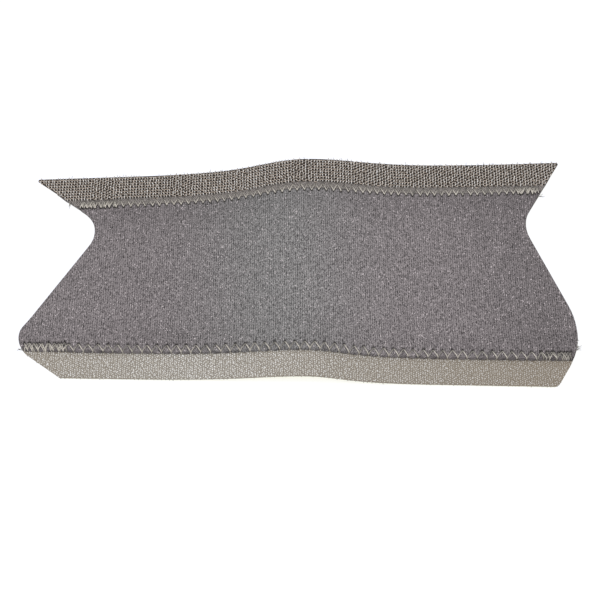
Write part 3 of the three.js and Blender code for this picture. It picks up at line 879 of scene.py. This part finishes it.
def thread_tree():
    """Twisted thread along each path. It carries its length and its direction round for the finish."""
    tree, sketch, given = new_tree("thread_runs", {"Radius": 0.0, "Sides": 6})
    curve = sketch.out("GeometryNodeMeshToCurve", {"Mesh": given["Geometry"]})
    length = sketch.out("GeometryNodeSplineParameter", output="Length")
    curve = sketch.out(
        "GeometryNodeStoreNamedAttribute",
        {"Geometry": curve, "Name": "along", "Value": length},
        data_type="FLOAT",
        domain="POINT",
    )
    profile = sketch.out(
        "GeometryNodeCurvePrimitiveCircle", {"Resolution": given["Sides"], "Radius": given["Radius"]}
    )
    profile = sketch.out(
        "GeometryNodeStoreNamedAttribute",
        {"Geometry": profile, "Name": "around", "Value": sketch.out("GeometryNodeInputPosition")},
        data_type="FLOAT_VECTOR",
        domain="POINT",
    )
    close_tree(sketch, given, tube(sketch, curve, profile))
    return tree


def grown(piece, tree, sizes, material):
    """Runs a tree on a piece and keeps the result as the piece's plain mesh."""
    modifier = piece.modifiers.new(tree.name, "NODES")
    modifier.node_group = tree
    values = dict(sizes, Material=material)
    for socket in tree.interface.items_tree:
        if socket.in_out == "INPUT" and socket.name in values:
            modifier[socket.identifier] = values[socket.name]
    bpy.context.view_layer.update()
    graph = bpy.context.evaluated_depsgraph_get()
    final = piece.evaluated_get(graph)
    mesh = bpy.data.meshes.new_from_object(final, preserve_all_data_layers=True, depsgraph=graph)
    piece.modifiers.remove(modifier)
    piece.data = mesh
    mesh.name = piece.name
    return piece


# Settings


def sized(name, description, default):
    return bpy.props.FloatProperty(
        name=name, description=description, default=default, min=0.0, unit="LENGTH", precision=5
    )


def coloured(name, description, default):
    return bpy.props.FloatVectorProperty(
        name=name, description=description, default=default, size=3, min=0.0, max=1.0, subtype="COLOR"
    )


def strength(name, description, default):
    return bpy.props.FloatProperty(name=name, description=description, default=default, min=0.0)


class GUARD_PG_panel(bpy.types.PropertyGroup):
    """Neoprene panel."""

    puff: sized("Puff", "How far the jersey rises between the stitches", 0.3 * MM)
    pit: sized("Needle pits", "How deep the needle holes pull the jersey in", 0.85 * MM)
    scallop: sized("Scallop", "How far each stitch pulls the cut edge in", 0.5 * MM)
    wale: sized("Wale", "Width of one column of knit", 1.0 * MM)
    course: sized("Course", "Height of one row of knit", 0.7 * MM)
    jersey: coloured("Jersey", "Colour of the knitted face", (0.205, 0.184, 0.190))
    # A painted sheen: the jersey is painted a little lighter and bluer along its old fold
    jersey_fold_sheen: coloured(
        "Jersey at the fold", "Colour of the knitted face along its old fold", (0.203, 0.197, 0.198)
    )
    foam: coloured("Sponge", "Colour of the cut sponge edge", (0.17, 0.158, 0.152))


class GUARD_PG_tapes(bpy.types.PropertyGroup):
    """Hook and loop tapes."""

    hook_height: sized("Hook height", "Height of a hook over its tape", 1.12 * MM)
    hook_reach: sized("Hook reach", "Length of a hook across the tape", 0.64 * MM)
    hook_radius: sized("Hook radius", "Half the thickness of a hook's filament", 0.225 * MM)
    hook_column: sized("Hook column", "Distance between columns of hooks", 1.33 * MM)
    hook_row: sized("Hook row", "Distance between rows of hooks", 1.42 * MM)
    float_column: sized("Float column", "Distance between columns of raised yarn on its back", 1.0 * MM)
    float_row: sized("Float row", "Distance between raised yarns in one column", 0.98 * MM)
    pile_pitch: sized("Pile pitch", "Distance between soft loops", 0.86 * MM)
    hook_nylon: coloured("Hooks", "Colour of the hook filament", (0.99, 0.862, 0.735))
    hook_weft: coloured("Hook weft", "Colour of the yarns that cross between the hooks", (0.48, 0.40, 0.335))
    hook_selvage: coloured("Hook selvage", "Colour of the hook tape's plain selvage", (0.22, 0.20, 0.189))
    # Painted shade: the ground between the hooks is painted dark for the shadow of the hooks over it
    hook_ground_shade: coloured("Hook ground", "Colour of the weave between the hooks", (0.045, 0.037, 0.032))
    loop_nylon: coloured("Loop yarn", "Colour of the loop tape's raised yarn", (0.915, 0.862, 0.77))
    loop_ground: coloured("Loop ground", "Colour of the loop tape's weave", (0.325, 0.298, 0.262))
    loop_pile: coloured("Loop pile", "Colour of the loop tape's soft loops", (0.36, 0.31, 0.29))


class GUARD_PG_threads(bpy.types.PropertyGroup):
    """Sewing thread."""

    radius: sized("Thread radius", "Half the thickness of the sewing thread", 0.235 * MM)
    sink: sized("Sunken legs", "How far the flattest leg of the zigzag sinks into the cloth", 0.22 * MM)
    fray: sized("Fray radius", "Half the thickness of a frayed fibre", 0.085 * MM)
    thread: coloured("Thread", "Colour of the sewing thread", (0.80, 0.745, 0.665))


class GUARD_PG_stage(bpy.types.PropertyGroup):
    """Stage and light."""

    ambient: strength("Ambient", "Strength of the even light from all sides", 0.55)
    key: strength("Key lamp", "Power of the large lamp on the left, in watts", 2.6)
    fill: strength("Fill lamp", "Power of the lamp on the right, in watts", 1.5)
    floor_glow: strength("Floor glow", "Light that the white floor gives by itself", 0.92)


def dress(piece, slot, *nodes):
    """Puts a finished piece on the guard's one body, in the place of its plain solids."""
    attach(piece, "root")
    if nodes:
        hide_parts(*nodes)


# Operators

# Lamps, as their place and their size, all aimed at the guard
KEY_LAMP = ((-0.53, -0.2, 0.65), 0.4)
FILL_LAMP = ((0.5, 0.0, 0.6), 0.5)

# The floor: its colour as light falls on the guard from it, and as the camera sees its shadows and its glow
FLOOR_REACH = 1.5
FLOOR_DROP = -0.05 * MM
FLOOR_COLOUR = (0.8, 0.8, 0.79, 1.0)
FLOOR_SHADOW_COLOUR = (0.16, 0.2, 0.5, 1.0)
FLOOR_GLOW_COLOUR = (1.0, 0.98, 0.79, 1.0)

# The camera: what it aims at, and its distance, elevation, roll and lens
CAMERA_AIM = (0.92 * MM, -12.94 * MM, 0.0)
CAMERA_DISTANCE = 614.7 * MM
CAMERA_ELEVATION = math.radians(65)
CAMERA_ROLL = -0.0085
CAMERA_LENS = 81.0


class GUARD_OT_stage(bpy.types.Operator):
    """Make the pale floor, the soft lamps and the camera over the near edge."""

    bl_idname = "guard.stage"
    bl_label = "Stage"

    def execute(self, context):
        stage = context.scene.guard_stage
        self.make_floor(stage)
        self.make_world(context, stage)
        self.make_lamp("key_lamp", *KEY_LAMP, stage.key)
        self.make_lamp("fill_lamp", *FILL_LAMP, stage.fill)
        self.make_camera(context)
        context.scene.view_settings.view_transform = "Standard"
        return {"FINISHED"}

    def seen_directly(self, sketch):
        """1 for what the camera sees, also by reflection and through glass."""
        path = sketch.add("ShaderNodeLightPath").outputs
        glossy = sketch.maths("MAXIMUM", path["Is Glossy Ray"], path["Is Transmission Ray"])
        return sketch.maths("MAXIMUM", path["Is Camera Ray"], glossy)

    def make_floor(self, stage):
        mesh = bpy.data.meshes.new("floor")
        signs = ((-1, -1), (1, -1), (1, 1), (-1, 1))
        corners = [(x * FLOOR_REACH, y * FLOOR_REACH, FLOOR_DROP) for x, y in signs]
        mesh.from_pydata(corners, [], [(0, 1, 2, 3)])
        floor = make_object("floor", mesh)
        material, sketch, shader = finish_material("white_floor", 0.9, specular=0.0)
        shader.inputs["Base Color"].default_value = FLOOR_COLOUR
        soft = sketch.out("ShaderNodeBsdfDiffuse", {"Color": FLOOR_SHADOW_COLOUR})
        light = {"Color": FLOOR_GLOW_COLOUR, "Strength": stage.floor_glow}
        glow = sketch.out("ShaderNodeEmission", light)
        shown = sketch.add("ShaderNodeAddShader")
        sketch.tree.links.new(soft, shown.inputs[0])
        sketch.tree.links.new(glow, shown.inputs[1])
        mixed = sketch.add("ShaderNodeMixShader", {"Fac": self.seen_directly(sketch)})
        sketch.tree.links.new(shader.outputs[0], mixed.inputs[1])
        sketch.tree.links.new(shown.outputs[0], mixed.inputs[2])
        sketch.tree.links.new(mixed.outputs[0], sketch.tree.nodes["Material Output"].inputs["Surface"])
        mesh.materials.append(material)

    def make_world(self, context, stage):
        world = bpy.data.worlds.new("studio")
        world.use_nodes = True
        sketch = Sketch(world.node_tree)
        seen = self.seen_directly(sketch)
        level = sketch.out("ShaderNodeMix", {"Factor": seen, "A": stage.ambient, "B": 1.0}, data_type="FLOAT")
        background = world.node_tree.nodes["Background"]
        sketch.tree.links.new(level, background.inputs["Strength"])
        background.inputs["Color"].default_value = (1.0, 1.0, 1.0, 1.0)
        context.scene.world = world

    def make_lamp(self, name, place, size, power):
        lamp = bpy.data.lights.new(name, "AREA")
        lamp.shape = "DISK"
        lamp.size = size
        lamp.energy = power
        holder = make_object(name, lamp)
        toward = Vector((0.0, 0.0, 0.0)) - Vector(place)
        holder.matrix_world = Matrix.Translation(place) @ toward.to_track_quat("-Z", "Y").to_matrix().to_4x4()

    def make_camera(self, context):
        forward = Vector((0.0, math.cos(CAMERA_ELEVATION), -math.sin(CAMERA_ELEVATION)))
        side = Vector((1.0, 0.0, 0.0))
        up = Vector((0.0, math.sin(CAMERA_ELEVATION), math.cos(CAMERA_ELEVATION)))
        right = side * math.cos(CAMERA_ROLL) + up * math.sin(CAMERA_ROLL)
        top = up * math.cos(CAMERA_ROLL) - side * math.sin(CAMERA_ROLL)
        camera = bpy.data.cameras.new("camera")
        camera.sensor_width = 36.0
        camera.lens = CAMERA_LENS
        camera.clip_start = 0.01
        holder = make_object("camera", camera)
        turn = Matrix((right, top, -forward)).transposed().to_4x4()
        place = Vector(CAMERA_AIM) - forward * CAMERA_DISTANCE
        holder.matrix_world = Matrix.Translation(place) @ turn
        context.scene.camera = holder


# The panel's rows in its plain middle
MIDDLE_ROWS = 28

# Its cut edge over the loop tape: the length of edge that a stitch pulls in, how far into the panel that
# reaches, and how far the edge bulges between two stitches
SCALLOP_REACH = 0.75 * MM
SCALLOP_FADE = 1.6 * MM
SCALLOP_BULGE = 0.1 * MM

# Painted shade along that edge: the length of a stretch, how much there is everywhere, and how much more at
# most
EDGE_SHADE_STRETCH = 2.1 * MM
EDGE_SHADE_LEAST = 0.04
EDGE_SHADE_MORE = 0.4


class GUARD_OT_panel(bpy.types.Operator):
    """Make the neoprene panel, pressed in by its two seams, with the sponge bare at its cut edges."""

    bl_idname = "guard.panel"
    bl_label = "Neoprene panel"

    def rows(self):
        """Rows close together along both seams, and further apart in the plain middle."""
        loop_side = np.concatenate(
            (
                [PANEL_LOOP_INSET, PANEL_LOOP_INSET + ROUNDING],
                np.arange(PANEL_LOOP_INSET + 0.65 * MM, LOOP_SEAM_FAR + 1.2 * MM, 0.34 * MM),
                np.linspace(LOOP_SEAM_FAR + 1.6 * MM, RAMP_END, 9),
            )
        )
        hook_side = np.concatenate(
            (
                np.linspace(HOOK_SEAM_NEAR + 3 * MM, HOOK_SEAM_NEAR + 1.5 * MM, 3),
                np.arange(HOOK_SEAM_NEAR + 1.1 * MM, HOOK_SEAM_FAR - 0.9 * MM, -0.36 * MM),
                [HOOK_SEAM_FAR - 1.4 * MM, PANEL_HOOK_INSET + 1.2 * MM],
                [PANEL_HOOK_INSET + ROUNDING, PANEL_HOOK_INSET],
            )
        )
        plain = (loop_edge(loop_side[-1]), hook_edge(hook_side[0]))
        middle = [between(*plain, step / MIDDLE_ROWS) for step in range(1, MIDDLE_ROWS)]
        return [loop_edge(inset) for inset in loop_side] + middle + [hook_edge(inset) for inset in hook_side]

    def edge_shade(self, x):
        """How much painted shade darkens the cut edge over the loop tape, in uneven stretches along it."""
        stretches = int(LENGTH / EDGE_SHADE_STRETCH)
        levels = np.random.default_rng(51).uniform(0, 1, stretches) ** 2
        places = np.linspace(-LENGTH / 2, LENGTH / 2, stretches)
        return EDGE_SHADE_LEAST + EDGE_SHADE_MORE * np.interp(x, places, levels)

    def scalloped(self, x, y, depth):
        """The rows with the cut edge over the loop tape pulled in at each stitch."""
        holes = seam_holes(LOOP_SEAM)
        holes = holes[holes[:, 1] < across(loop_edge(LOOP_SEAM_NEAR + 1 * MM), holes[:, 0])]
        away = np.abs(x[0][:, None] - holes[:, 0]).min(1)
        pull = depth * np.exp(-((away / SCALLOP_REACH) ** 2)) - SCALLOP_BULGE
        into = (half_width(x) + y - PANEL_LOOP_INSET) / SCALLOP_FADE
        return y + np.interp(x, x[0], pull) * np.clip(1 - into, 0, 1)

    def execute(self, context):
        looks = context.scene.guard_panel
        x, y = plan_grid(self.rows(), PANEL_COLUMNS)
        y = self.scalloped(x, y, looks.scallop)
        upper, lower = panel_top(x, y), panel_bottom(x, y)
        painted_shade_above, painted_shade_below = np.zeros_like(x), np.zeros_like(x)
        shown = np.where(half_width(x) - y < HOOK_TAPE_WIDTH + 0.1 * MM, 0, 1)
        sunk = np.clip((half_width(x) + y - LOOP_SEAM_NEAR) / (LOOP_SEAM_FAR - LOOP_SEAM_NEAR), 0, 1)
        for seam in (LOOP_SEAM, HOOK_SEAM):
            thread, hole, loose = seam_relief(x, y, seam)
            upper += (looks.puff * loose - THREAD_DENT * thread - looks.pit * hole) * shown
            lower += 0.5 * looks.pit * hole + 0.05 * MM * thread
            # Painted shade in the needle holes and in the grooves beside the thread, stronger where the legs
            # sink into the cloth
            painted_shade_above += ((0.35 + 0.75 * sunk) * hole**1.1 + 0.35 * thread * sunk**2) * shown
            painted_shade_below += hole**2
        # Painted shade along the cut edge over the loop tape
        painted_shade_above[:2] += self.edge_shade(x[:2])
        painted_shade_above = np.minimum(painted_shade_above, 1)
        piece = closed_sheet(
            "neoprene",
            x,
            y,
            rounded(upper, PANEL_DROP[0]),
            rounded(lower, -PANEL_DROP[1]),
            PANEL_WALL,
            # The jersey's tone is its painted light and shade along the guard and beside the seams
            {"hole": (painted_shade_above, painted_shade_below), "tone": (jersey_painted_light(x, y), np.ones_like(x))},
            core=SPONGE_STRIPS,
        )
        piece.data.materials.append(jersey_material(looks))
        piece.data.materials.append(foam_material(looks))
        dress(piece, "neoprene", "neoprene_panel")
        return {"FINISHED"}


# The outermost row of both tapes, just inside the guard's long edges
EDGE = 0.01 * MM

# The hook field: its first row, how far the hooks stay off the long edge and the cut ends, and their stray
HOOK_FIRST_ROW = 0.4 * MM
HOOK_EDGE_MARGIN = 0.25 * MM
HOOK_END_MARGIN = 0.12 * MM
HOOK_STRAY = 0.08 * MM

# Its columns stand in stretches, square or like brickwork, with more brickwork towards the right end. Its
# rows also drift in slow waves: by which share of their distance, and over how many columns to the radian
STRETCH_COLUMNS = 7
BRICKWORK_SHARES = (0.2, 0.95)
ROW_DRIFT = 0.12
ROW_DRIFT_COLUMNS = 9

# Raised yarns: the half height of a grain, on both tapes
GRAIN_RISE = 0.24 * MM


class GUARD_OT_hook_tape(bpy.types.Operator):
    """Make the hook tape: its woven ground, and the field of hooks that stands on it."""

    bl_idname = "guard.hook_tape"
    bl_label = "Hook tape"

    def make_ground(self, looks):
        insets = np.concatenate(
            (
                [HOOK_TAPE_WIDTH, HOOK_TAPE_WIDTH - ROUNDING],
                np.arange(HOOK_TAPE_WIDTH - 0.65 * MM, HOOK_SEAM_FAR - 0.8 * MM, -0.38 * MM),
                np.linspace(HOOK_SEAM_FAR - 1.2 * MM, 1.2 * MM, 9),
                [0.7 * MM, ROUNDING, 0.1 * MM, EDGE],
            )
        )
        x, y = plan_grid([hook_edge(inset) for inset in insets], HOOK_TAPE_COLUMNS)
        thread, hole, loose = seam_relief(x, y, HOOK_SEAM)
        # Where the ground is painted with the shade between the hooks
        field = np.clip((HOOK_TAPE_WIDTH - HOOK_SELVAGE - half_width(x) + y) / (0.4 * MM), 0, 1)
        upper = hook_tape_top(x, y)
        lower = upper - TAPE_GROUND
        upper += 0.06 * MM * loose - 0.08 * MM * thread - 0.25 * MM * hole
        piece = closed_sheet(
            "hook_tape_ground",
            x,
            y,
            rounded(upper, TAPE_DROP),
            rounded(lower, -TAPE_DROP),
            TAPE_WALL,
            {"hole": (hole**2, hole**2), "field": (field, 0 * field)},
        )
        pitch = (1.0 * MM, 1.1 * MM)
        weave = woven_material("hook_weave", looks.hook_selvage, pitch, 0.95, field=looks.hook_ground_shade)
        piece.data.materials.append(weave)
        return piece

    def field(self, looks, shift, seed):
        """Places across the hook field as x, y and column. In brickwork, odd columns are half a row on."""
        rng = np.random.default_rng(seed)
        columns = int(LENGTH / looks.hook_column)
        stretches = columns // STRETCH_COLUMNS + 1
        brickwork = rng.random(stretches) < np.linspace(*BRICKWORK_SHARES, stretches)
        staggered = np.repeat(brickwork, STRETCH_COLUMNS)[:columns]
        drift = ROW_DRIFT * np.sin(np.arange(columns) / ROW_DRIFT_COLUMNS)
        phase = 0.5 * staggered * (np.arange(columns) % 2) + drift
        last = HOOK_TAPE_WIDTH - HOOK_SELVAGE
        places = []
        for column in range(columns):
            x = (column - columns / 2 + 0.5 + shift) * looks.hook_column
            for row in range(-1, int(last / looks.hook_row) + 1):
                inset = HOOK_FIRST_ROW + (row + phase[column] + shift) * looks.hook_row
                if not HOOK_EDGE_MARGIN < inset < last:
                    continue
                start, end = row_span(hook_edge(inset))
                if start + HOOK_END_MARGIN < x < end - HOOK_END_MARGIN:
                    stray = rng.normal(0, HOOK_STRAY, 2)
                    places.append((x + stray[0], across(hook_edge(inset), x) + stray[1], column))
        return np.array(places).T

    def make_hooks(self, looks):
        x, y, column = self.field(looks, 0.0, 21)
        points = placed(x, y, hook_tape_top(x, y))
        piece = point_mesh("hooks", points, surface_turn(x, y, math.pi * (column % 2)))
        sizes = {
            "Height": looks.hook_height,
            "Reach": looks.hook_reach,
            "Radius": looks.hook_radius,
            "Turn jitter": 0.25,
            "Smallest": 0.78,
            "Seed": 5,
        }
        filament_finish = yarn_material("hook_filament", looks.hook_nylon, spread=0.45, roughness=0.3)
        return grown(piece, hook_tree(), sizes, filament_finish)

    def make_weft(self, looks):
        """Yarns that bridge the gaps between two columns of hooks, so that the field looks like a net."""
        x, y, _ = self.field(looks, 0.5, 21)
        points = placed(x, y, hook_tape_top(x, y) + 0.22 * MM)
        piece = point_mesh("hook_tape_weft", points, surface_turn(x, y, np.full_like(x, math.pi / 2)))
        sizes = {
            "Width": 0.27 * MM,
            "Run": 0.52 * looks.hook_column,
            "Rise": GRAIN_RISE,
            "Turn jitter": 0.2,
            "Smallest": 0.85,
            "Seed": 6,
        }
        yarn = yarn_material("hook_weft", looks.hook_weft, spread=0.4, roughness=0.6)
        return grown(piece, weave_tree(), sizes, yarn)

    def execute(self, context):
        looks = context.scene.guard_tapes
        ground, hooks, weft = self.make_ground(looks), self.make_hooks(looks), self.make_weft(looks)
        dress(ground, "hook_nylon", "hook_tape")
        dress(hooks, "hook_nylon")
        dress(weft, "hook_nylon")
        return {"FINISHED"}


# How far the loops and floats stay off the cut ends, and how strongly painted falloff of light darkens and
# warms the tape's back towards its ends
LOOP_END_MARGIN = 0.3 * MM
LOOP_TAPE_FALLOFF = 0.43


class GUARD_OT_loop_tape(bpy.types.Operator):
    """Make the loop tape: its woven ground, the raised yarns of its back and its pile of soft loops."""

    bl_idname = "guard.loop_tape"
    bl_label = "Loop tape"

    def make_ground(self, looks):
        insets = np.concatenate(
            (
                [EDGE, 0.15 * MM, 0.45 * MM, 0.9 * MM, 1.5 * MM, 2.2 * MM, 3 * MM],
                np.linspace(4.2 * MM, PANEL_LOOP_INSET, 8),
                np.linspace(PANEL_LOOP_INSET + 1 * MM, LOOP_TAPE_WIDTH, 7),
            )
        )
        x, y = plan_grid([loop_edge(inset) for inset in insets], LOOP_TAPE_COLUMNS)
        hole = seam_relief(x, y, LOOP_SEAM)[1]
        upper = np.full_like(x, LOOP_TAPE_TOP)
        lower = upper - TAPE_GROUND
        piece = closed_sheet(
            "loop_tape_ground",
            x,
            y,
            rounded(upper, TAPE_DROP),
            rounded(lower, -TAPE_DROP),
            TAPE_WALL,
            {"hole": (0 * hole, hole**2)},
        )
        pitch = (looks.float_column, looks.float_row)
        weave = woven_material("loop_weave", looks.loop_ground, pitch, contrast=0.5, falloff=LOOP_TAPE_FALLOFF)
        piece.data.materials.append(weave)
        return piece

    def lattice(self, column_pitch, row_pitch, first, last, stray, seed):
        """Places on staggered columns across the visible part of the tape, as x, y and column."""
        rng = np.random.default_rng(seed)
        columns = int(LENGTH / column_pitch)
        places = []
        for column in range(columns):
            x = (column - columns / 2 + 0.5) * column_pitch
            for row in range(int((last - first) / row_pitch) + 1):
                inset = first + (row + 0.5 * (column % 2)) * row_pitch
                shift = rng.normal(0, stray, 2)
                start, end = row_span(loop_edge(inset))
                if inset < last and start + LOOP_END_MARGIN < x < end - LOOP_END_MARGIN:
                    places.append((x + shift[0], across(loop_edge(inset), x) + shift[1], column))
        return np.array(places).T

    def make_floats(self, looks):
        x, y, column = self.lattice(
            looks.float_column,
            looks.float_row,
            first=0.6 * MM,
            last=PANEL_LOOP_INSET + 0.3 * MM,
            stray=0.15 * MM,
            seed=31,
        )
        points = placed(x, y, np.full_like(x, LOOP_TAPE_TOP))
        slant = 0.6 * (2 * (column % 2) - 1)
        piece = point_mesh("loop_tape_floats", points, surface_turn(x, y, slant))
        sizes = {
            "Width": 0.3 * looks.float_column,
            "Run": 0.48 * looks.float_row,
            "Rise": GRAIN_RISE,
            "Turn jitter": 0.2,
            "Smallest": 0.78,
            "Seed": 7,
        }
        yarn = yarn_material("loop_yarn", looks.loop_nylon, spread=0.36, roughness=0.7, falloff=LOOP_TAPE_FALLOFF)
        return grown(piece, weave_tree(), sizes, yarn)

    def make_pile(self, looks):
        x, y, _ = self.lattice(
            looks.pile_pitch,
            looks.pile_pitch,
            first=0.45 * MM,
            last=PANEL_LOOP_INSET - 0.6 * MM,
            stray=0.12 * MM,
            seed=32,
        )
        turns = np.random.default_rng(33).uniform(-0.6, 0.6, len(x))
        points = placed(x, y, np.full_like(x, LOOP_PILE))
        piece = point_mesh("loop_pile", points, surface_turn(x, y, turns))
        sizes = {
            "Height": LOOP_PILE - 0.15 * MM,
            "Width": 1.1 * MM,
            "Radius": 0.09 * MM,
            "Turn jitter": 0.15,
            "Smallest": 0.85,
            "Seed": 8,
        }
        yarn = yarn_material("pile_yarn", looks.loop_pile, spread=0.3, roughness=0.8, falloff=0.2)
        return grown(piece, loop_tree(), sizes, yarn)

    def execute(self, context):
        looks = context.scene.guard_tapes
        ground, floats, pile = self.make_ground(looks), self.make_floats(looks), self.make_pile(looks)
        dress(ground, "loop_nylon", "loop_tape")
        dress(floats, "loop_nylon")
        dress(pile, "loop_nylon")
        return {"FINISHED"}


# Where the points of one leg of stitching lie along it
LEG_SHARES = np.array((0, 0.03, 0.08, 0.17, 0.32, 0.5, 0.68, 0.83, 0.92, 0.97, 1))

# For the needle thread on top, as 1, and the bobbin thread below, as -1: how far apart the layers of a back
# tack lie, and how much of the thread stands proud of the cloth. Then how deep a leg ends in its needle holes
LAYER_STEP = {1: 0.16 * MM, -1: 0.03 * MM}
PROUD_SHARE = {1: 0.85, -1: 0.62}
LEG_END_DEPTH = 0.45 * MM


class GUARD_OT_seams(bpy.types.Operator):
    """Sew the four threads of the two zigzag seams, leg by leg."""

    bl_idname = "guard.seams"
    bl_label = "Seams"

    def leg_path(self, leg, surface, up, looks):
        """One leg: out of its needle hole, over the cloth and down into the next hole."""
        x = leg[0] + (leg[2] - leg[0]) * LEG_SHARES
        y = leg[1] + (leg[3] - leg[1]) * LEG_SHARES
        arch = 1 - np.abs(2 * LEG_SHARES - 1) ** 7
        over = looks.radius * PROUD_SHARE[up] + leg[4] * LAYER_STEP[up] - looks.sink * (1 - leg[5])
        return placed(x, y, surface(x, y) + up * (over * arch - LEG_END_DEPTH * (1 - arch)))

    def leg_painted_light(self, leg, seam):
        """How much of its colour the thread keeps along a leg against painted shade: proud legs keep most of
        it on the shining side of the seam, sunken legs and the other side are painted darker.
        """
        rows = [across(seam[side], leg[0]) for side in ("far", "near")]
        y = leg[1] + (leg[3] - leg[1]) * LEG_SHARES
        share = np.clip((y - rows[0]) / (rows[1] - rows[0]), 0, 1)
        return leg[5] * (seam["shine"][1] + (seam["shine"][0] - seam["shine"][1]) * share)

    def execute(self, context):
        looks = context.scene.guard_threads
        material = thread_material(looks)
        tree = thread_tree()
        for seam, name in ((HOOK_SEAM, "hook_seam"), (LOOP_SEAM, "loop_seam")):
            legs = seam_legs(seam)
            threads = (("needle", seam["top"], 1, 6), ("bobbin", seam["bottom"], -1, 5))
            for kind, surface, up, sides in threads:
                paths = [self.leg_path(leg, surface, up, looks) for leg in legs]
                # Each leg's tone carries its painted shade into the thread's finish
                piece = path_mesh(f"{name}_{kind}", paths, [self.leg_painted_light(leg, seam) for leg in legs])
                grown(piece, tree, {"Radius": looks.radius, "Sides": sides}, material)
                dress(piece, "thread", f"{name}_{kind}_thread")
        return {"FINISHED"}


# Fibres along the hook tape's free edge: how many, how far off its ends, and the least and most length
EDGE_FIBRES = 45
EDGE_FIBRE_MARGIN = 1 * MM
EDGE_FIBRE_LENGTHS = (0.4 * MM, 1.4 * MM)

# How far inside a cut end its tufts are rooted
TUFT_ROOT = 0.6 * MM

# Tufts at the cut ends: the row, the left or right end of it, the height, the aim, the length and the count
TUFTS = (
    (hook_edge(12.7 * MM), 0, 2.4 * MM, (-0.1, -1, 0.15), 4.6 * MM, 5),
    (hook_edge(17.9 * MM), 1, 2.5 * MM, (1, -0.1, 0.35), 3.4 * MM, 4),
    (loop_edge(12.9 * MM), 0, 2.9 * MM, (-1, -0.1, 0.2), 3.2 * MM, 5),
    (loop_edge(16.8 * MM), 1, 3.4 * MM, (1, 0.5, 0.35), 3.2 * MM, 9),
    (loop_edge(21.0 * MM), 1, 3.4 * MM, (1, 0.6, 0.5), 1.6 * MM, 4),
)


class GUARD_OT_frayed_fibres(bpy.types.Operator):
    """Make the fine fibres that stand out of the cut ends and of the hook tape's free edge."""

    bl_idname = "guard.frayed_fibres"
    bl_label = "Frayed fibres"

    def fibre(self, rng, root, aim, length):
        """A short curled path from its root."""
        direction = np.array(aim, float)
        direction /= np.linalg.norm(direction)
        curl = rng.normal(0, 0.35, 3)
        steps = np.linspace(0, 1, 6)[:, None]
        return np.array(root) + length * (direction * steps + 0.5 * curl * steps**2)

    def execute(self, context):
        looks = context.scene.guard_threads
        rng = np.random.default_rng(41)
        paths = []
        start, end = row_span(hook_edge(EDGE))
        for x in rng.uniform(start + EDGE_FIBRE_MARGIN, end - EDGE_FIBRE_MARGIN, EDGE_FIBRES):
            root = placed(x, across(hook_edge(0.1 * MM), x), HOOK_GROUND_TOP)
            aim = (rng.normal(0, 0.15), 1, rng.normal(0.4, 0.3))
            paths.append(self.fibre(rng, root, aim, rng.uniform(*EDGE_FIBRE_LENGTHS)))
        for row, side, height, aim, length, count in TUFTS:
            x = row_span(row)[side]
            x += TUFT_ROOT if side == 0 else -TUFT_ROOT
            for _ in range(count):
                root = placed(x, across(row, x), height) + rng.normal(0, 0.2 * MM, 3)
                astray = np.array(aim) + rng.normal(0, 0.15, 3)
                paths.append(self.fibre(rng, root, astray, length * rng.uniform(0.6, 1)))
        piece = path_mesh("frayed_fibres", paths)
        material = yarn_material("fibre", shade(looks.thread, 0.3), spread=0.7, roughness=0.6)
        grown(piece, thread_tree(), {"Radius": looks.fray, "Sides": 4}, material)
        dress(piece, "thread")
        return {"FINISHED"}


OPERATORS = (
    GUARD_OT_stage,
    GUARD_OT_panel,
    GUARD_OT_hook_tape,
    GUARD_OT_loop_tape,
    GUARD_OT_seams,
    GUARD_OT_frayed_fibres,
)
GROUPS = {
    "guard_panel": GUARD_PG_panel,
    "guard_tapes": GUARD_PG_tapes,
    "guard_threads": GUARD_PG_threads,
    "guard_stage": GUARD_PG_stage,
}


class GUARD_PT_sidebar(bpy.types.Panel):
    """Lists the settings and the pieces."""

    bl_label = "Bicycle frame protector"
    bl_idname = "GUARD_PT_sidebar"
    bl_space_type = "VIEW_3D"
    bl_region_type = "UI"
    bl_category = "Protector"

    def draw(self, context):
        for key, group in GROUPS.items():
            box = self.layout.box()
            for name in group.__annotations__:
                box.prop(getattr(context.scene, key), name)
        for operator in OPERATORS:
            self.layout.operator(operator.bl_idname)


def register():
    for group in (*GROUPS.values(), *OPERATORS, GUARD_PT_sidebar):
        bpy.utils.register_class(group)
    for key, group in GROUPS.items():
        setattr(bpy.types.Scene, key, bpy.props.PointerProperty(type=group))


def unregister():
    for key in GROUPS:
        delattr(bpy.types.Scene, key)
    for group in (GUARD_PT_sidebar, *reversed(OPERATORS), *reversed(GROUPS.values())):
        bpy.utils.unregister_class(group)


def main():
    register()
    bpy.ops.guard.stage()
    bpy.ops.guard.panel()
    bpy.ops.guard.hook_tape()
    bpy.ops.guard.loop_tape()
    bpy.ops.guard.seams()
    bpy.ops.guard.frayed_fibres()
    bpy.context.view_layer.update()


if __name__ == "__main__":
    main()
